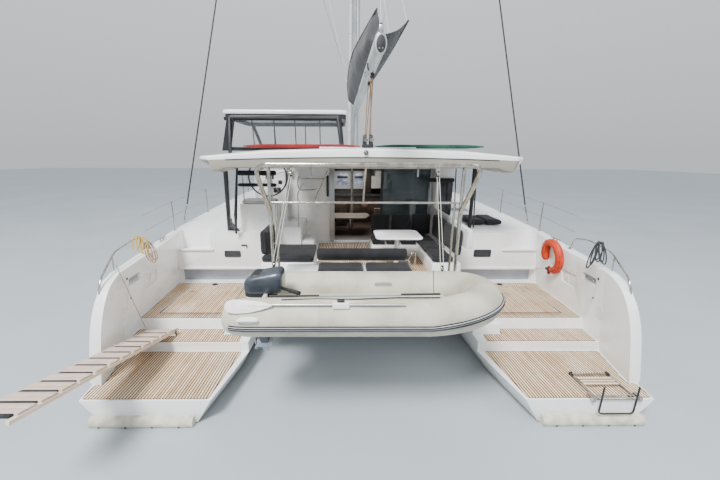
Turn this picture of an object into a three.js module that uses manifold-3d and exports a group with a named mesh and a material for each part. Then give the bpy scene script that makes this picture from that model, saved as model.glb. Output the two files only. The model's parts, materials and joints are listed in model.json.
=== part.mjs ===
// A cruising catamaran under 14 m, moored stern-to, with its tender on the davits.
// Millimetres. +X is starboard, +Y is the bow, +Z is up, and the origin lies on the
// waterline at mid-length. Places along the boat are written as s, forward of the stern.
import * as THREE from 'three';
import { mergeVertices } from 'three/addons/utils/BufferGeometryUtils.js';
import Module from 'manifold-3d';

const wasm = await Module();
wasm.setup();

// Driving dimensions
const HULL_LENGTH = 13800;
const HULL_CENTRE = 2920;
const DECK_INNER = 1850;
const KNUCKLE = 400;
const PLATFORM = 354;
const FIRST_STEP = 510;
const UPPER_STEP = 700;
const FIRST_RISER = 1080;
const SECOND_RISER = 1500;
const LOCKER_WALL = 3100;
const LOCKER_TOE = 1030;
const TOE_DEPTH = 220;
const BULWARK = 115;
const BULWARK_LEAN = 0.12;
const CAP_EDGE = 40;
const SOLE = 1250;
const BULKHEAD = 4550;
const BEAM_AFT = 1050;
const SOFFIT = 3200;
const ROOF_CROWN = 3530;
const ROOF_AFT = 2050;
const MAST_S = 5950;
const MAST_HALF = 165;
const MASTHEAD = 21400;
const GOOSENECK_Z = 4560;
const SEAT_TOP = 1620;
const RAIL_TUBE = 14;
const GAP = 0.3;
const RUNNING_GAP = 6;

// Finishes
const finish = (color, roughness, metalness = 0) =>
  new THREE.MeshStandardMaterial({ color, roughness, metalness });
const gelcoat = finish(0xe6e7e8, 0.3);
const greyGelcoat = finish(0x9aa0a8, 0.45);
const antifouling = finish(0x2b3138, 0.8);
const steel = finish(0xc9ccce, 0.22, 0.9);
const aluminium = finish(0xbfc3c6, 0.35, 0.8);
const teak = finish(0xb9967a, 0.7);
const glass = finish(0x1c2226, 0.1);
const charcoal = finish(0x3a3b42, 0.9);
const canvas = finish(0x6e7073, 0.9);
const blackTrim = finish(0x222427, 0.6);
const sailcloth = finish(0xdfe0dc, 0.8);
const rubberTube = finish(0xcfcdc3, 0.6);
const cowling = finish(0x4f5b6b, 0.5);
const orange = finish(0xe2521f, 0.6);
const bronze = finish(0x8a6a3c, 0.4, 0.8);
const netting = finish(0xd8d8d4, 0.9);

const boat = new THREE.Group();
boat.name = 'sailing_catamaran';

const along = (s) => s - HULL_LENGTH / 2;
const point = (x, s, z) => new THREE.Vector3(x, along(s), z);
const mix = (a, b, t) => a + (b - a) * t;
const sideName = (side) => (side > 0 ? 'starboard' : 'port');

function place(name, geometry, material, parent = boat) {
  const mesh = new THREE.Mesh(geometry, material);
  mesh.name = name;
  parent.add(mesh);
  return mesh;
}

function pivotGroup(x, s, z) {
  const group = new THREE.Group();
  group.position.copy(point(x, s, z));
  boat.add(group);
  return group;
}

function toSolid(geometry) {
  const bare = geometry.clone();
  bare.deleteAttribute('normal');
  bare.deleteAttribute('uv');
  const merged = mergeVertices(bare, 1e-3);
  return new wasm.Manifold(
    new wasm.Mesh({
      numProp: 3,
      vertProperties: Float32Array.from(merged.attributes.position.array),
      triVerts: Uint32Array.from(merged.index.array),
    }),
  );
}

function toGeometry(solid) {
  const mesh = solid.getMesh();
  const geometry = new THREE.BufferGeometry();
  geometry.setAttribute('position', new THREE.BufferAttribute(mesh.vertProperties, 3));
  geometry.setIndex(new THREE.BufferAttribute(mesh.triVerts, 1));
  geometry.computeVertexNormals();
  return geometry;
}

function cut(geometry, ...tools) {
  return toGeometry(tools.reduce((solid, tool) => solid.subtract(toSolid(tool)), toSolid(geometry)));
}

function join(...pieces) {
  const [first, ...others] = pieces.map(toSolid);
  return toGeometry(others.reduce((solid, other) => solid.add(other), first));
}

function block([x0, x1], [s0, s1], [z0, z1]) {
  const geometry = new THREE.BoxGeometry(x1 - x0, s1 - s0, z1 - z0);
  return geometry.translate((x0 + x1) / 2, along((s0 + s1) / 2), (z0 + z1) / 2);
}

// A prism of an outline: 'x' takes [s, z] points, 'y' takes [x, z] and 'z' takes [x, s].
function prism(axis, outline, from, to) {
  const corners = outline.map(([a, b]) => {
    if (axis === 'x') return new THREE.Vector2(along(a), b);
    if (axis === 'z') return new THREE.Vector2(a, along(b));
    return new THREE.Vector2(a, b);
  });
  const geometry = new THREE.ExtrudeGeometry(new THREE.Shape(corners), {
    depth: to - from,
    bevelEnabled: false,
  });
  const turn = new THREE.Matrix4();
  if (axis === 'x') {
    turn.makeBasis(new THREE.Vector3(0, 1, 0), new THREE.Vector3(0, 0, 1), new THREE.Vector3(1, 0, 0));
    return geometry.applyMatrix4(turn).translate(from, 0, 0);
  }
  if (axis === 'y') {
    turn.makeBasis(new THREE.Vector3(1, 0, 0), new THREE.Vector3(0, 0, 1), new THREE.Vector3(0, -1, 0));
    return geometry.applyMatrix4(turn).translate(0, along(to), 0);
  }
  return geometry.translate(0, 0, from);
}

// A rounded rectangle as a list of points, for cushions and panels.
function roundedOutline(a0, a1, b0, b1, radius, steps = 3) {
  const centres = [
    [a1 - radius, b1 - radius, 0],
    [a0 + radius, b1 - radius, 90],
    [a0 + radius, b0 + radius, 180],
    [a1 - radius, b0 + radius, 270],
  ];
  const outline = [];
  for (const [a, b, start] of centres) {
    for (let i = 0; i <= steps; i += 1) {
      const angle = THREE.MathUtils.degToRad(start + (90 * i) / steps);
      outline.push([a + radius * Math.cos(angle), b + radius * Math.sin(angle)]);
    }
  }
  return outline;
}

function rod(a, b, radius, sides = 10) {
  const geometry = new THREE.CylinderGeometry(radius, radius, a.distanceTo(b), sides);
  const direction = b.clone().sub(a).normalize();
  const up = new THREE.Vector3(0, 1, 0);
  geometry.applyQuaternion(new THREE.Quaternion().setFromUnitVectors(up, direction));
  const middle = a.clone().add(b).multiplyScalar(0.5);
  return geometry.translate(middle.x, middle.y, middle.z);
}

// A tube through corner points, each corner rounded over the given length.
function bentTube(corners, radius, bend, steps = 24, sides = 8) {
  const path = new THREE.CurvePath();
  let start = corners[0];
  for (let i = 1; i < corners.length - 1; i += 1) {
    const corner = corners[i];
    const before = corner.clone().add(corners[i - 1].clone().sub(corner).setLength(bend));
    const after = corner.clone().add(corners[i + 1].clone().sub(corner).setLength(bend));
    path.add(new THREE.LineCurve3(start, before));
    path.add(new THREE.QuadraticBezierCurve3(before, corner, after));
    start = after;
  }
  path.add(new THREE.LineCurve3(start, corners[corners.length - 1]));
  return sweep(path, radius, steps, sides);
}

function sweep(path, radius, steps, sides = 8) {
  const ring = [];
  for (let i = 0; i < sides; i += 1) {
    const angle = (2 * Math.PI * i) / sides;
    ring.push(new THREE.Vector2(radius * Math.cos(angle), radius * Math.sin(angle)));
  }
  const shape = new THREE.Shape(ring);
  return new THREE.ExtrudeGeometry(shape, { steps, bevelEnabled: false, extrudePath: path });
}

// A closed skin through rings of equal count, with a cap at each end that is flat in `flatten`.
function loft(rings, flatten = (p) => [p.x, p.z]) {
  const count = rings[0].length;
  const index = [];
  for (let r = 0; r < rings.length - 1; r += 1) {
    for (let i = 0; i < count; i += 1) {
      const a = r * count + i;
      const b = r * count + ((i + 1) % count);
      index.push(a, b, b + count, a, b + count, a + count);
    }
  }
  const cap = (ring, offset, forward) => {
    const flat = ring.map((p) => new THREE.Vector2(...flatten(p)));
    const sameWay = THREE.ShapeUtils.area(flat) > 0 === forward;
    for (const [a, b, c] of THREE.ShapeUtils.triangulateShape(flat, [])) {
      const order = sameWay ? [a, b, c] : [a, c, b];
      index.push(...order.map((i) => i + offset));
    }
  };
  cap(rings[0], 0, false);
  cap(rings[rings.length - 1], (rings.length - 1) * count, true);
  const positions = rings.flat().flatMap((p) => [p.x, p.y, p.z]);
  const geometry = new THREE.BufferGeometry();
  geometry.setAttribute('position', new THREE.Float32BufferAttribute(positions, 3));
  geometry.setIndex(facingOut(positions, index));
  return geometry;
}

function facingOut(positions, index) {
  const corner = (i) => new THREE.Vector3(...positions.slice(3 * i, 3 * i + 3));
  let volume = 0;
  for (let i = 0; i < index.length; i += 3) {
    volume += corner(index[i]).dot(corner(index[i + 1]).cross(corner(index[i + 2])));
  }
  if (volume > 0) return index;
  return index.map((_, i) => index[i - (i % 3) + [0, 2, 1][i % 3]]);
}

// Trims a piece to seat on a neighbour, with the small gap between them.
function seat(geometry, neighbour, [dx, dy, dz]) {
  return cut(geometry, neighbour.clone().translate(dx * GAP, dy * GAP, dz * GAP));
}

// Hulls
const STATION_KEYS = ['s', 'keel', 'waterline', 'outer', 'rail', 'inner', 'chine', 'sheer'];
const hullStations = [
  [0, -110, 600, 3745, 3640, 2040, 2230, 1700],
  [600, -190, 630, 3830, 3690, 1925, 2110, 1700],
  [1050, -250, 645, 3935, 3830, DECK_INNER, 2020, 1710],
  [2200, -390, 670, 4030, 3960, DECK_INNER, 1960, 1760],
  [3100, -470, 685, 4075, 4015, DECK_INNER, 1940, 1830],
  [4800, -580, 700, 4100, 4065, DECK_INNER, 1940, 1900],
  [7200, -620, 690, 4100, 4085, DECK_INNER, 1970, 2000],
  [9200, -580, 620, 4030, 4025, DECK_INNER, 2050, 2060],
  [10300, -515, 530, 3915, 3915, DECK_INNER, 2130, 2085],
  [11600, -400, 370, 3670, 3670, 2260, 2400, 2110],
  [12700, -270, 210, 3380, 3380, 2530, 2640, 2120],
  [13400, -150, 100, 3140, 3140, 2740, 2790, 2125],
  [13800, -20, 25, 2960, 2960, 2880, 2889, 2130],
].map((row) => Object.fromEntries(row.map((value, i) => [STATION_KEYS[i], value])));

function stationAt(s, key) {
  const i = Math.max(1, hullStations.findIndex((station) => station.s >= s));
  const [a, b] = [hullStations[i - 1], hullStations[i]];
  return mix(a[key], b[key], (s - a.s) / (b.s - a.s));
}

const deckAt = (s) => stationAt(s, 'sheer');
const bulwarkFace = (s, z) => stationAt(s, 'outer') - BULWARK - BULWARK_LEAN * (z - PLATFORM);

function hullSection({ s, keel, waterline, outer, rail, inner, chine, sheer }, side) {
  const outline = [
    [HULL_CENTRE, keel],
    [HULL_CENTRE + waterline * 0.6, keel * 0.86],
    [HULL_CENTRE + waterline * 0.92, keel * 0.45],
    [HULL_CENTRE + waterline, 60],
    [mix(HULL_CENTRE + waterline, outer, 0.75), 300],
    [outer, KNUCKLE],
    [rail, sheer - CAP_EDGE],
    [rail - CAP_EDGE, sheer],
    [inner, sheer],
    [inner, PLATFORM],
    [chine, 30],
    [HULL_CENTRE - waterline * 0.92, keel * 0.45],
    [HULL_CENTRE - waterline * 0.6, keel * 0.86],
  ];
  return outline.map(([x, z]) => point(side * x, s, z));
}

const spanOf = (side, near, far) => (side > 0 ? [near, far] : [-far, -near]);
const ROOM_INNER = 1500;
const ROOM_TOP = 3000;
const wholeHull = (side) => spanOf(side, ROOM_INNER, 4500);

// The open room over the stern steps, bounded outboard by the leaning face of the bulwark.
const STERN_CLEAR = -300;
const WING_INNER_AFT = 3500;
const faceAt = (s, z) => (s > 0 ? bulwarkFace(s, z) : WING_INNER_AFT - BULWARK_LEAN * (z - PLATFORM));

function sternRoom(side, s0, s1, floor, inboard = [[ROOM_INNER, s1]]) {
  const ring = (z) => [[ROOM_INNER, s0], [faceAt(s0, z), s0], [faceAt(s1, z), s1], ...inboard]
    .map(([x, s]) => point(side * x, s, z));
  return loft([ring(floor), ring(ROOM_TOP)], (p) => [p.x, p.y]);
}

// The leaning face stands on a short upright foot, so that the platform's floor is clear to its edge
const FOOT_RISE = 6;
function platformFoot(side) {
  const ring = (z) => [
    [ROOM_INNER, STERN_CLEAR], [faceAt(STERN_CLEAR, PLATFORM), STERN_CLEAR],
    [faceAt(FIRST_RISER, PLATFORM), FIRST_RISER], [ROOM_INNER, FIRST_RISER],
  ].map(([x, s]) => point(side * x, s, z));
  return loft([ring(PLATFORM), ring(PLATFORM + FOOT_RISE)], (p) => [p.x, p.y]);
}

const hatchSpan = [2420, 3560];
const hatchRun = [1720, 2880];
const HATCH_THICK = 36;
const HATCH_BARREL = 10;

const COUNTER = [[-200, -60], [0, -60], [420, -700], [-200, -700]];
const WING_EDGE = [
  [290, PLATFORM], [325, 700], [385, 1100], [470, 1340], [580, 1510], [740, 1640], [980, 1700],
];
const CORNER_REACH = 2300;
const CORNER_AFT = 1320;
const STEP_CORNER = [[CORNER_REACH, SECOND_RISER], [CORNER_REACH, CORNER_AFT], [ROOM_INNER, CORNER_AFT]];

function hull(side) {
  const shell = loft(hullStations.map((station) => hullSection(station, side)));
  const edge = new THREE.SplineCurve(WING_EDGE.map(([s, z]) => new THREE.Vector2(s, z)));
  const wingCurve = [
    [STERN_CLEAR, PLATFORM],
    ...edge.getPoints(18).map((p) => [p.x, p.y]),
    [1100, ROOM_TOP],
    [STERN_CLEAR, ROOM_TOP],
  ];
  const toeRoom = block(
    spanOf(side, ROOM_INNER, 3880), [LOCKER_WALL - 10, LOCKER_WALL + TOE_DEPTH], [UPPER_STEP, LOCKER_TOE],
  );
  const pocketFloor = UPPER_STEP - HATCH_THICK - RUNNING_GAP;
  const pocket = block(spanOf(side, ...hatchSpan), hatchRun, [pocketFloor, UPPER_STEP + 10]);
  const overCorner = block(
    spanOf(side, ROOM_INNER, CORNER_REACH + 10),
    [CORNER_AFT - 10, SECOND_RISER + 10],
    [UPPER_STEP, ROOM_TOP],
  );
  const sideStep = block(spanOf(side, 3140, 3830), [LOCKER_WALL - 10, LOCKER_WALL + 280], [1430, ROOM_TOP]);
  return cut(
    shell,
    prism('x', COUNTER, ...wholeHull(side)),
    prism('x', wingCurve, ...wholeHull(side)),
    sternRoom(side, STERN_CLEAR, FIRST_RISER, PLATFORM),
    platformFoot(side),
    sternRoom(side, FIRST_RISER - 5, SECOND_RISER, FIRST_STEP, STEP_CORNER),
    sternRoom(side, SECOND_RISER - 5, LOCKER_WALL, UPPER_STEP),
    overCorner,
    toeRoom,
    pocket,
    sideStep,
  );
}

const hulls = { '-1': hull(-1), 1: hull(1) };
for (const side of [-1, 1]) place(`hull_${sideName(side)}`, hulls[side], gelcoat);

// Engine hatches in the upper steps, each strapped to a barrel that lies forward of its pocket
const HATCH_HINGE_S = hatchRun[1] + HATCH_BARREL + 4;
for (const side of [-1, 1]) {
  const [x0, x1] = hatchSpan;
  const pivot = pivotGroup(side * (x0 + x1) / 2, HATCH_HINGE_S, UPPER_STEP + HATCH_BARREL + GAP);
  const halfWidth = (x1 - x0) / 2 - RUNNING_GAP;
  const lidAft = hatchRun[0] + RUNNING_GAP - HATCH_HINGE_S;
  const lidFore = hatchRun[1] - RUNNING_GAP - HATCH_HINGE_S;
  const lidTop = -HATCH_BARREL - GAP + 3;
  const lid = new THREE.BoxGeometry(2 * halfWidth, lidFore - lidAft, HATCH_THICK);
  lid.translate(0, (lidFore + lidAft) / 2, lidTop - HATCH_THICK / 2);
  const barrel = new THREE.CylinderGeometry(HATCH_BARREL, HATCH_BARREL, 2 * halfWidth - 200, 12);
  barrel.rotateZ(Math.PI / 2);
  const straps = [-0.7, 0, 0.7].map((share) => {
    const strap = new THREE.BoxGeometry(70, 70, HATCH_BARREL - 1.5);
    return strap.translate(share * halfWidth, -35, -HATCH_BARREL / 2 - 0.5);
  });
  place(`engine_hatch_${sideName(side)}`, join(lid, barrel, ...straps), teak, pivot);
}

// Keels and saildrive legs, trimmed to the hull's bottom
function foil(x, [s0, s1], top, tip, thick, taper) {
  const half = [[0.12, 0.4], [0.4, 0.5], [0.75, 0.28]];
  const outline = [[0, 0], ...half, [1, 0], ...half.map(([c, t]) => [c, -t]).reverse()];
  const ring = (aft, fore, z) => outline.map(([c, t]) => point(x + t * thick, fore - c * (fore - aft), z));
  return loft([ring(s0, s1, top), ring(s0 + taper * 0.4, s1 - taper, tip)], (p) => [p.x, p.y]);
}

const KEEL_TIP = -1350;
const SHAFT_Z = -860;
const PROP_S = 2330;
for (const side of [-1, 1]) {
  const x = side * HULL_CENTRE;
  const keel = foil(x, [5000, 7300], -450, KEEL_TIP, 240, 500);
  place(`keel_${sideName(side)}`, seat(keel, hulls[side], [0, 0, -1]), antifouling);
  const leg = foil(x, [2480, 2820], -300, SHAFT_Z, 90, 40);
  const gearcase = rod(point(x, PROP_S + 90, SHAFT_Z), point(x, 2860, SHAFT_Z), 62, 12);
  const saildrive = seat(join(leg, gearcase), hulls[side], [0, 0, -1]);
  place(`saildrive_${sideName(side)}`, saildrive, greyGelcoat);

  const shaft = pivotGroup(x, PROP_S, SHAFT_Z);
  const hub = new THREE.CylinderGeometry(48, 34, 170, 12);
  hub.translate(0, 90 - GAP - 85, 0);
  const blades = [0, 1, 2].map((i) => {
    const blade = new THREE.CylinderGeometry(70, 42, 12, 10).scale(1, 1, 1.9).translate(0, 0, 115);
    return blade.rotateZ(THREE.MathUtils.degToRad(24)).rotateY((i * 2 * Math.PI) / 3);
  });
  place(`propeller_${sideName(side)}`, join(hub, ...blades), bronze, shaft);

  const stock = pivotGroup(x, 1250, 0);
  const rudderTop = stationAt(1250, 'keel') - 60;
  const blade = foil(0, [0, 460], rudderTop, -1080, 62, 90).translate(0, -along(330), 0);
  const pinTop = stationAt(1280, 'keel') - GAP;
  const pin = new THREE.CylinderGeometry(26, 26, pinTop - rudderTop + 40, 12).rotateX(Math.PI / 2);
  pin.translate(0, 0, (pinTop + rudderTop - 40) / 2);
  place(`rudder_${sideName(side)}`, join(blade, pin), antifouling, stock);
}

// The bridge deck between the hulls, with the cockpit sole and the raised helm base
const DECK_HALF = DECK_INNER - GAP;
const FOREDECK = 2050;
const HELM_BASE_TOP = 1893;
const bridgeProfile = [
  [BEAM_AFT, SOLE - 200], [BEAM_AFT + 120, 800], [9500, 800], [10300, 1350],
  [10300, FOREDECK], [9050, FOREDECK], [9050, SOLE], [BEAM_AFT, SOLE],
];
const bridgeDeck = join(
  prism('x', bridgeProfile, -DECK_HALF, DECK_HALF),
  block([-DECK_HALF, -1250], [3350, BULKHEAD - GAP], [SOLE - 10, HELM_BASE_TOP]),
);
place('bridge_deck', bridgeDeck, gelcoat);

// The roof: the hardtop over the cockpit runs on as the coachroof
const roofStations = [
  { s: ROOF_AFT, half: 2600, crown: 3505, tip: 3385, lip: 3130 },
  { s: 2230, half: 2800, crown: ROOF_CROWN, tip: 3390, lip: 3120 },
  { s: 3300, half: 2810, crown: 3545, tip: 3400, lip: 3150 },
  { s: BULKHEAD, half: 2780, crown: 3560, tip: 3400, lip: SOFFIT },
  { s: 5200, half: 2560, crown: 3560, tip: 3390, lip: SOFFIT },
  { s: 7000, half: 2520, crown: 3560, tip: 3370, lip: SOFFIT },
  { s: 8400, half: 2300, crown: 3480, tip: 3300, lip: SOFFIT },
  { s: 8900, half: 1950, crown: 3330, tip: 3260, lip: SOFFIT },
];

function roofSection({ s, half, crown, tip, lip }) {
  const right = [
    [2290, SOFFIT], [half - 370 > 2300 ? half - 370 : half - 60, lip], [half, tip - 60],
    [half, tip], [half * 0.62, mix(tip, crown, 0.72)], [350, crown],
  ];
  const inner = Math.min(2290, half - 120);
  right[0][0] = inner;
  const left = right.map(([x, z]) => [-x, z]).reverse();
  return [...right, ...left].map(([x, z]) => point(x, s, z));
}

const helmOpening = block([-2560, -1530], [3300, 4470], [3000, 3800]);
const roof = cut(loft(roofStations.map(roofSection)), helmOpening);
place('roof', roof, gelcoat);

// Deckhouse walls under the roof
const WALL_TOP = SOFFIT - GAP;
const WALL_X = 2290;
const WALL_THICK = 45;
const doorOpening = [-540, 1840];
const DOOR_TOP = 3100;
const SIDE_FOOT = 1896;
const bulkheadOutline = [
  [-DECK_HALF, SOLE + GAP], [doorOpening[0], SOLE + GAP], [doorOpening[0], DOOR_TOP],
  [doorOpening[1], DOOR_TOP], [doorOpening[1], SOLE + GAP], [DECK_HALF, SOLE + GAP],
  [DECK_HALF, SIDE_FOOT], [WALL_X, SIDE_FOOT], [WALL_X, WALL_TOP],
  [-WALL_X, WALL_TOP], [-WALL_X, SIDE_FOOT], [-DECK_HALF, SIDE_FOOT],
];
place('bulkhead', prism('y', bulkheadOutline, BULKHEAD, BULKHEAD + 60), gelcoat);

const sideFoot = [4611, 4800, 7200, 8380].map((s) => [s, deckAt(s) + GAP]);
const sideOutline = [...sideFoot, [8380, WALL_TOP], [4611, WALL_TOP]];
const sideWindow = [[4900, 2420], [8000, 2520], [7700, 3020], [4900, 3040]];
const FRONT_S = 8380;
const frontFoot = deckAt(8900) + 20;
const frontWindow = [[-1700, 2520], [1700, 2520], [1550, 3000], [-1550, 3000]];
for (const side of [-1, 1]) {
  const span = spanOf(side, WALL_X - WALL_THICK, WALL_X);
  const wall = cut(prism('x', sideOutline, ...span), prism('x', sideWindow, ...spanOf(side, 2000, 2600)));
  place(`deckhouse_${sideName(side)}`, wall, gelcoat);
  const paneInset = spanOf(side, WALL_X - 30, WALL_X - 18);
  const pane = sideWindow.map(([s, z]) => [mix(6400, s, 0.9998), mix(2750, z, 0.9994)]);
  place(`window_${sideName(side)}`, prism('x', pane, ...paneInset), glass);
}
const frontShell = [
  [FRONT_S + GAP, frontFoot], [8990, frontFoot], [8960, frontFoot + 20],
  [8441, WALL_TOP], [FRONT_S + GAP, WALL_TOP],
];
const frontRoom = [
  [8200, SOLE], [8890, SOLE], [8890, frontFoot], [FRONT_S + 10, WALL_TOP + 20], [8200, WALL_TOP + 20],
];
const FRONT_REACH = [8000, 9400];
const front = cut(
  prism('x', frontShell, -WALL_X, WALL_X),
  prism('x', frontRoom, -WALL_X + 60, WALL_X - 60),
  prism('y', frontWindow, ...FRONT_REACH),
);
place('deckhouse_front', seat(front, bridgeDeck, [0, 0, 1]), gelcoat);
const slope = (z) => mix(8930, 8410, (z - frontFoot) / (WALL_TOP - frontFoot));
const PANE_THICK = 14;
const PANE_RUN = [2500, 3020];
const paneBand = [
  ...PANE_RUN.map((z) => [slope(z), z]),
  ...PANE_RUN.map((z) => [slope(z) + PANE_THICK, z]).reverse(),
];
const drawnIn = (value, centre) => value - Math.sign(value - centre) * 2 * GAP;
const paneEdge = frontWindow.map(([x, z]) => [drawnIn(x, 0), drawnIn(z, 2750)]);
const paneSolid = toSolid(prism('x', paneBand, -1800, 1800));
const paneWindow = toSolid(prism('y', paneEdge, ...FRONT_REACH));
place('window_front', toGeometry(paneSolid.intersect(paneWindow)), glass);

// Fixed pane and the sliding door inside it
const paneFrame = (x0, x1, s0, s1) => block([x0, x1], [s0, s1], [SOLE + GAP, DOOR_TOP - GAP]);
place('aft_pane', paneFrame(620, doorOpening[1] - GAP, BULKHEAD + 8, BULKHEAD + 30), glass);
const doorGroup = pivotGroup(1225, BULKHEAD + 84, SOLE);
const doorHalf = 605;
const doorLeaf = new THREE.BoxGeometry(2 * doorHalf, 30, DOOR_TOP - SOLE - 40);
doorLeaf.translate(0, 0, (DOOR_TOP - SOLE - 40) / 2 + GAP);
place('sliding_door', doorLeaf, glass, doorGroup);

// Hardtop supports
const POST = 42;
const hardtopPosts = {
  port: [point(-2790, 3330, 1780), point(-2460, 2480, 3300), hulls[-1]],
  starboard: [point(2520, 3560, 1780), point(2440, 3400, 3300), hulls[1]],
};
for (const [name, [deckEnd, roofEnd, hullBelow]] of Object.entries(hardtopPosts)) {
  const post = seat(rod(deckEnd, roofEnd, POST, 8), roof, [0, 0, -1]);
  place(`hardtop_post_${name}`, seat(post, hullBelow, [0, 0, 1]), blackTrim);
}

// Helm station on the port side
const CONSOLE_AFT = 4150;
const helmFloor = join(hulls[-1], bridgeDeck);
const consoleSide = [
  [CONSOLE_AFT + 60, 1850], [4540, 1850], [4540, 3060],
  [4330, 3080], [CONSOLE_AFT, 2990], [CONSOLE_AFT, 2500],
];
place('helm_console', seat(prism('x', consoleSide, -2400, -1680), helmFloor, [0, 0, 1]), gelcoat);
const HELM_SEAT_TOP = 2420;
const seatBase = block([-2470, -1700], [3170, 3560], [1800, HELM_SEAT_TOP]);
place('helm_seat', seat(seatBase, helmFloor, [0, 0, 1]), gelcoat);
const backrest = [2820, 3060].map((z) => {
  const bar = roundedOutline(3150, 3215, z - 45, z + 45, 25, 2);
  return prism('x', bar, -2480, -1690);
});
const backrestPosts = [-2380, -1790].map((x) =>
  block([x - 14, x + 14], [3172, 3198], [HELM_SEAT_TOP + GAP, 3080]));
place('helm_backrest', join(...backrest, ...backrestPosts), charcoal);

const WHEEL_RADIUS = 430;
const WHEEL_S = 3950;
const wheelGroup = pivotGroup(-2040, WHEEL_S, 2930);
const rim = new THREE.TorusGeometry(WHEEL_RADIUS, 15, 8, 36).rotateX(Math.PI / 2);
const spokes = [0, 1, 2, 3, 4].map((i) => {
  const spoke = new THREE.CylinderGeometry(8, 8, WHEEL_RADIUS, 6).translate(0, WHEEL_RADIUS / 2, 0);
  return spoke.rotateX(Math.PI / 2).rotateY((i * 2 * Math.PI) / 5);
});
const HUB_AFT = 30;
const shaftLength = CONSOLE_AFT - WHEEL_S + HUB_AFT - GAP;
const wheelShaft = new THREE.CylinderGeometry(34, 40, shaftLength, 12);
wheelShaft.translate(0, shaftLength / 2 - HUB_AFT, 0);
place('steering_wheel', join(rim, wheelShaft, ...spokes), steel, wheelGroup);

// The fixed top over the helm, on its own four legs
const helmTopRun = [3420, 5350];
const helmTopSpan = [-2800, -230];
const HELM_TOP_Z = 4170;
const helmTopOutline = roundedOutline(...helmTopSpan, ...helmTopRun, 160);
place('helm_top', prism('z', helmTopOutline, HELM_TOP_Z + 50 + GAP, HELM_TOP_Z + 130), gelcoat);
const inset = (by, radius) => roundedOutline(
  helmTopSpan[0] + by, helmTopSpan[1] - by, helmTopRun[0] + by, helmTopRun[1] - by, radius,
);
const valance = cut(
  prism('z', inset(40, 140), HELM_TOP_Z - 40, HELM_TOP_Z + 50),
  prism('z', inset(90, 100), HELM_TOP_Z - 80, HELM_TOP_Z + 80),
);
const topLegs = [
  [-2640, -2735, 3490, 3600],
  [-440, -330, 3490, 3600],
  [-2640, -2350, 5280, 5280],
  [-440, -330, 5280, 5280],
].map(([xTop, xFoot, sTop, sFoot]) =>
  rod(point(xFoot, sFoot, 3345), point(xTop, sTop, HELM_TOP_Z - 10), 40, 8));
place('helm_top_frame', seat(join(valance, ...topLegs), roof, [0, 0, 1]), blackTrim);

// Cockpit furniture
const SEAT_SIDE = DECK_INNER - 5;
const SEAT_BASE = 1500;
place('aft_bench', block([-1330, 850], [1320, 2080], [SOLE + GAP, SEAT_BASE]), gelcoat);
const benchPad = roundedOutline(-770, 830, 1340, 1860, 50);
place('aft_bench_cushion', prism('z', benchPad, SEAT_BASE + GAP, SEAT_TOP), charcoal);
const benchRoll = roundedOutline(1900, 2060, SEAT_BASE + GAP, 1800, 70);
place('aft_bench_roll', prism('x', benchRoll, -800, 810), charcoal);
const portRun = [2100, 3050];
place('port_seat', block([-SEAT_SIDE, -860], portRun, [SOLE + GAP, SEAT_BASE]), gelcoat);
const portPad = join(
  prism('z', roundedOutline(-SEAT_SIDE, -860, ...portRun, 50), SEAT_BASE + GAP, SEAT_TOP),
  block([-SEAT_SIDE, -SEAT_SIDE + 110], [portRun[0] + 50, portRun[1] - 20], [SEAT_TOP - 20, 2080]),
);
place('port_seat_cushion', portPad, charcoal);
const SOFA_END = 300;
const sofaPlan = [
  [SOFA_END, 3900], [SOFA_END, 3300], [1310, 3300], [1310, 2090], [SEAT_SIDE, 2090], [SEAT_SIDE, 3900],
];
place('sofa_base', prism('z', sofaPlan, SOLE + GAP, SEAT_BASE), gelcoat);
const sofaPad = join(
  prism('z', sofaPlan, SEAT_BASE + GAP, SEAT_TOP),
  block([SEAT_SIDE - 120, SEAT_SIDE], [2090, 3900], [SEAT_TOP - 20, 2130]),
  block([SOFA_END, SEAT_SIDE - 100], [3780, 3900], [SEAT_TOP - 20, 2130]),
);
place('sofa_cushion', sofaPad, charcoal);
const tableTop = prism('z', roundedOutline(290, 1150, 2200, 2900, 120), 1910, 1945);
const pedestal = rod(point(720, 2550, SOLE + GAP), point(720, 2550, 1920), 45, 12);
place('cockpit_table', join(tableTop, pedestal), gelcoat);
const sunpad = prism('z', roundedOutline(2560, 3350, 3700, 4500, 60), 1800, 1990);
place('side_sunpad', seat(sunpad, hulls[1], [0, 0, 1]), charcoal);

// Davit arch: two side frames, an aft bar that carries the tender's tackles, and a cross rail
const ARCH_X = 1400;
const ARCH_S = 1200;
const BAR_S = 800;
const BAR_Z = 3290;
const BRACE_S = 920;
const archSides = [-1, 1].flatMap((side) => {
  const x = side * ARCH_X;
  const barEnd = point(x, BAR_S, BAR_Z);
  const braceMiddle = point(x + side * 70, BRACE_S, 2960);
  return [
    bentTube([point(x, ARCH_S, SOLE + GAP), point(x, ARCH_S, BAR_Z), barEnd], 26, 130, 20),
    bentTube([point(x, ARCH_S, 2500), braceMiddle, barEnd], 22, 160, 12),
  ];
});
const aftBar = rod(point(-ARCH_X - 20, BAR_S, BAR_Z), point(ARCH_X + 20, BAR_S, BAR_Z), 34, 10);
const crossRail = rod(point(-ARCH_X, ARCH_S, 2740), point(ARCH_X, ARCH_S, 2740), 16, 8);

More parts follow.
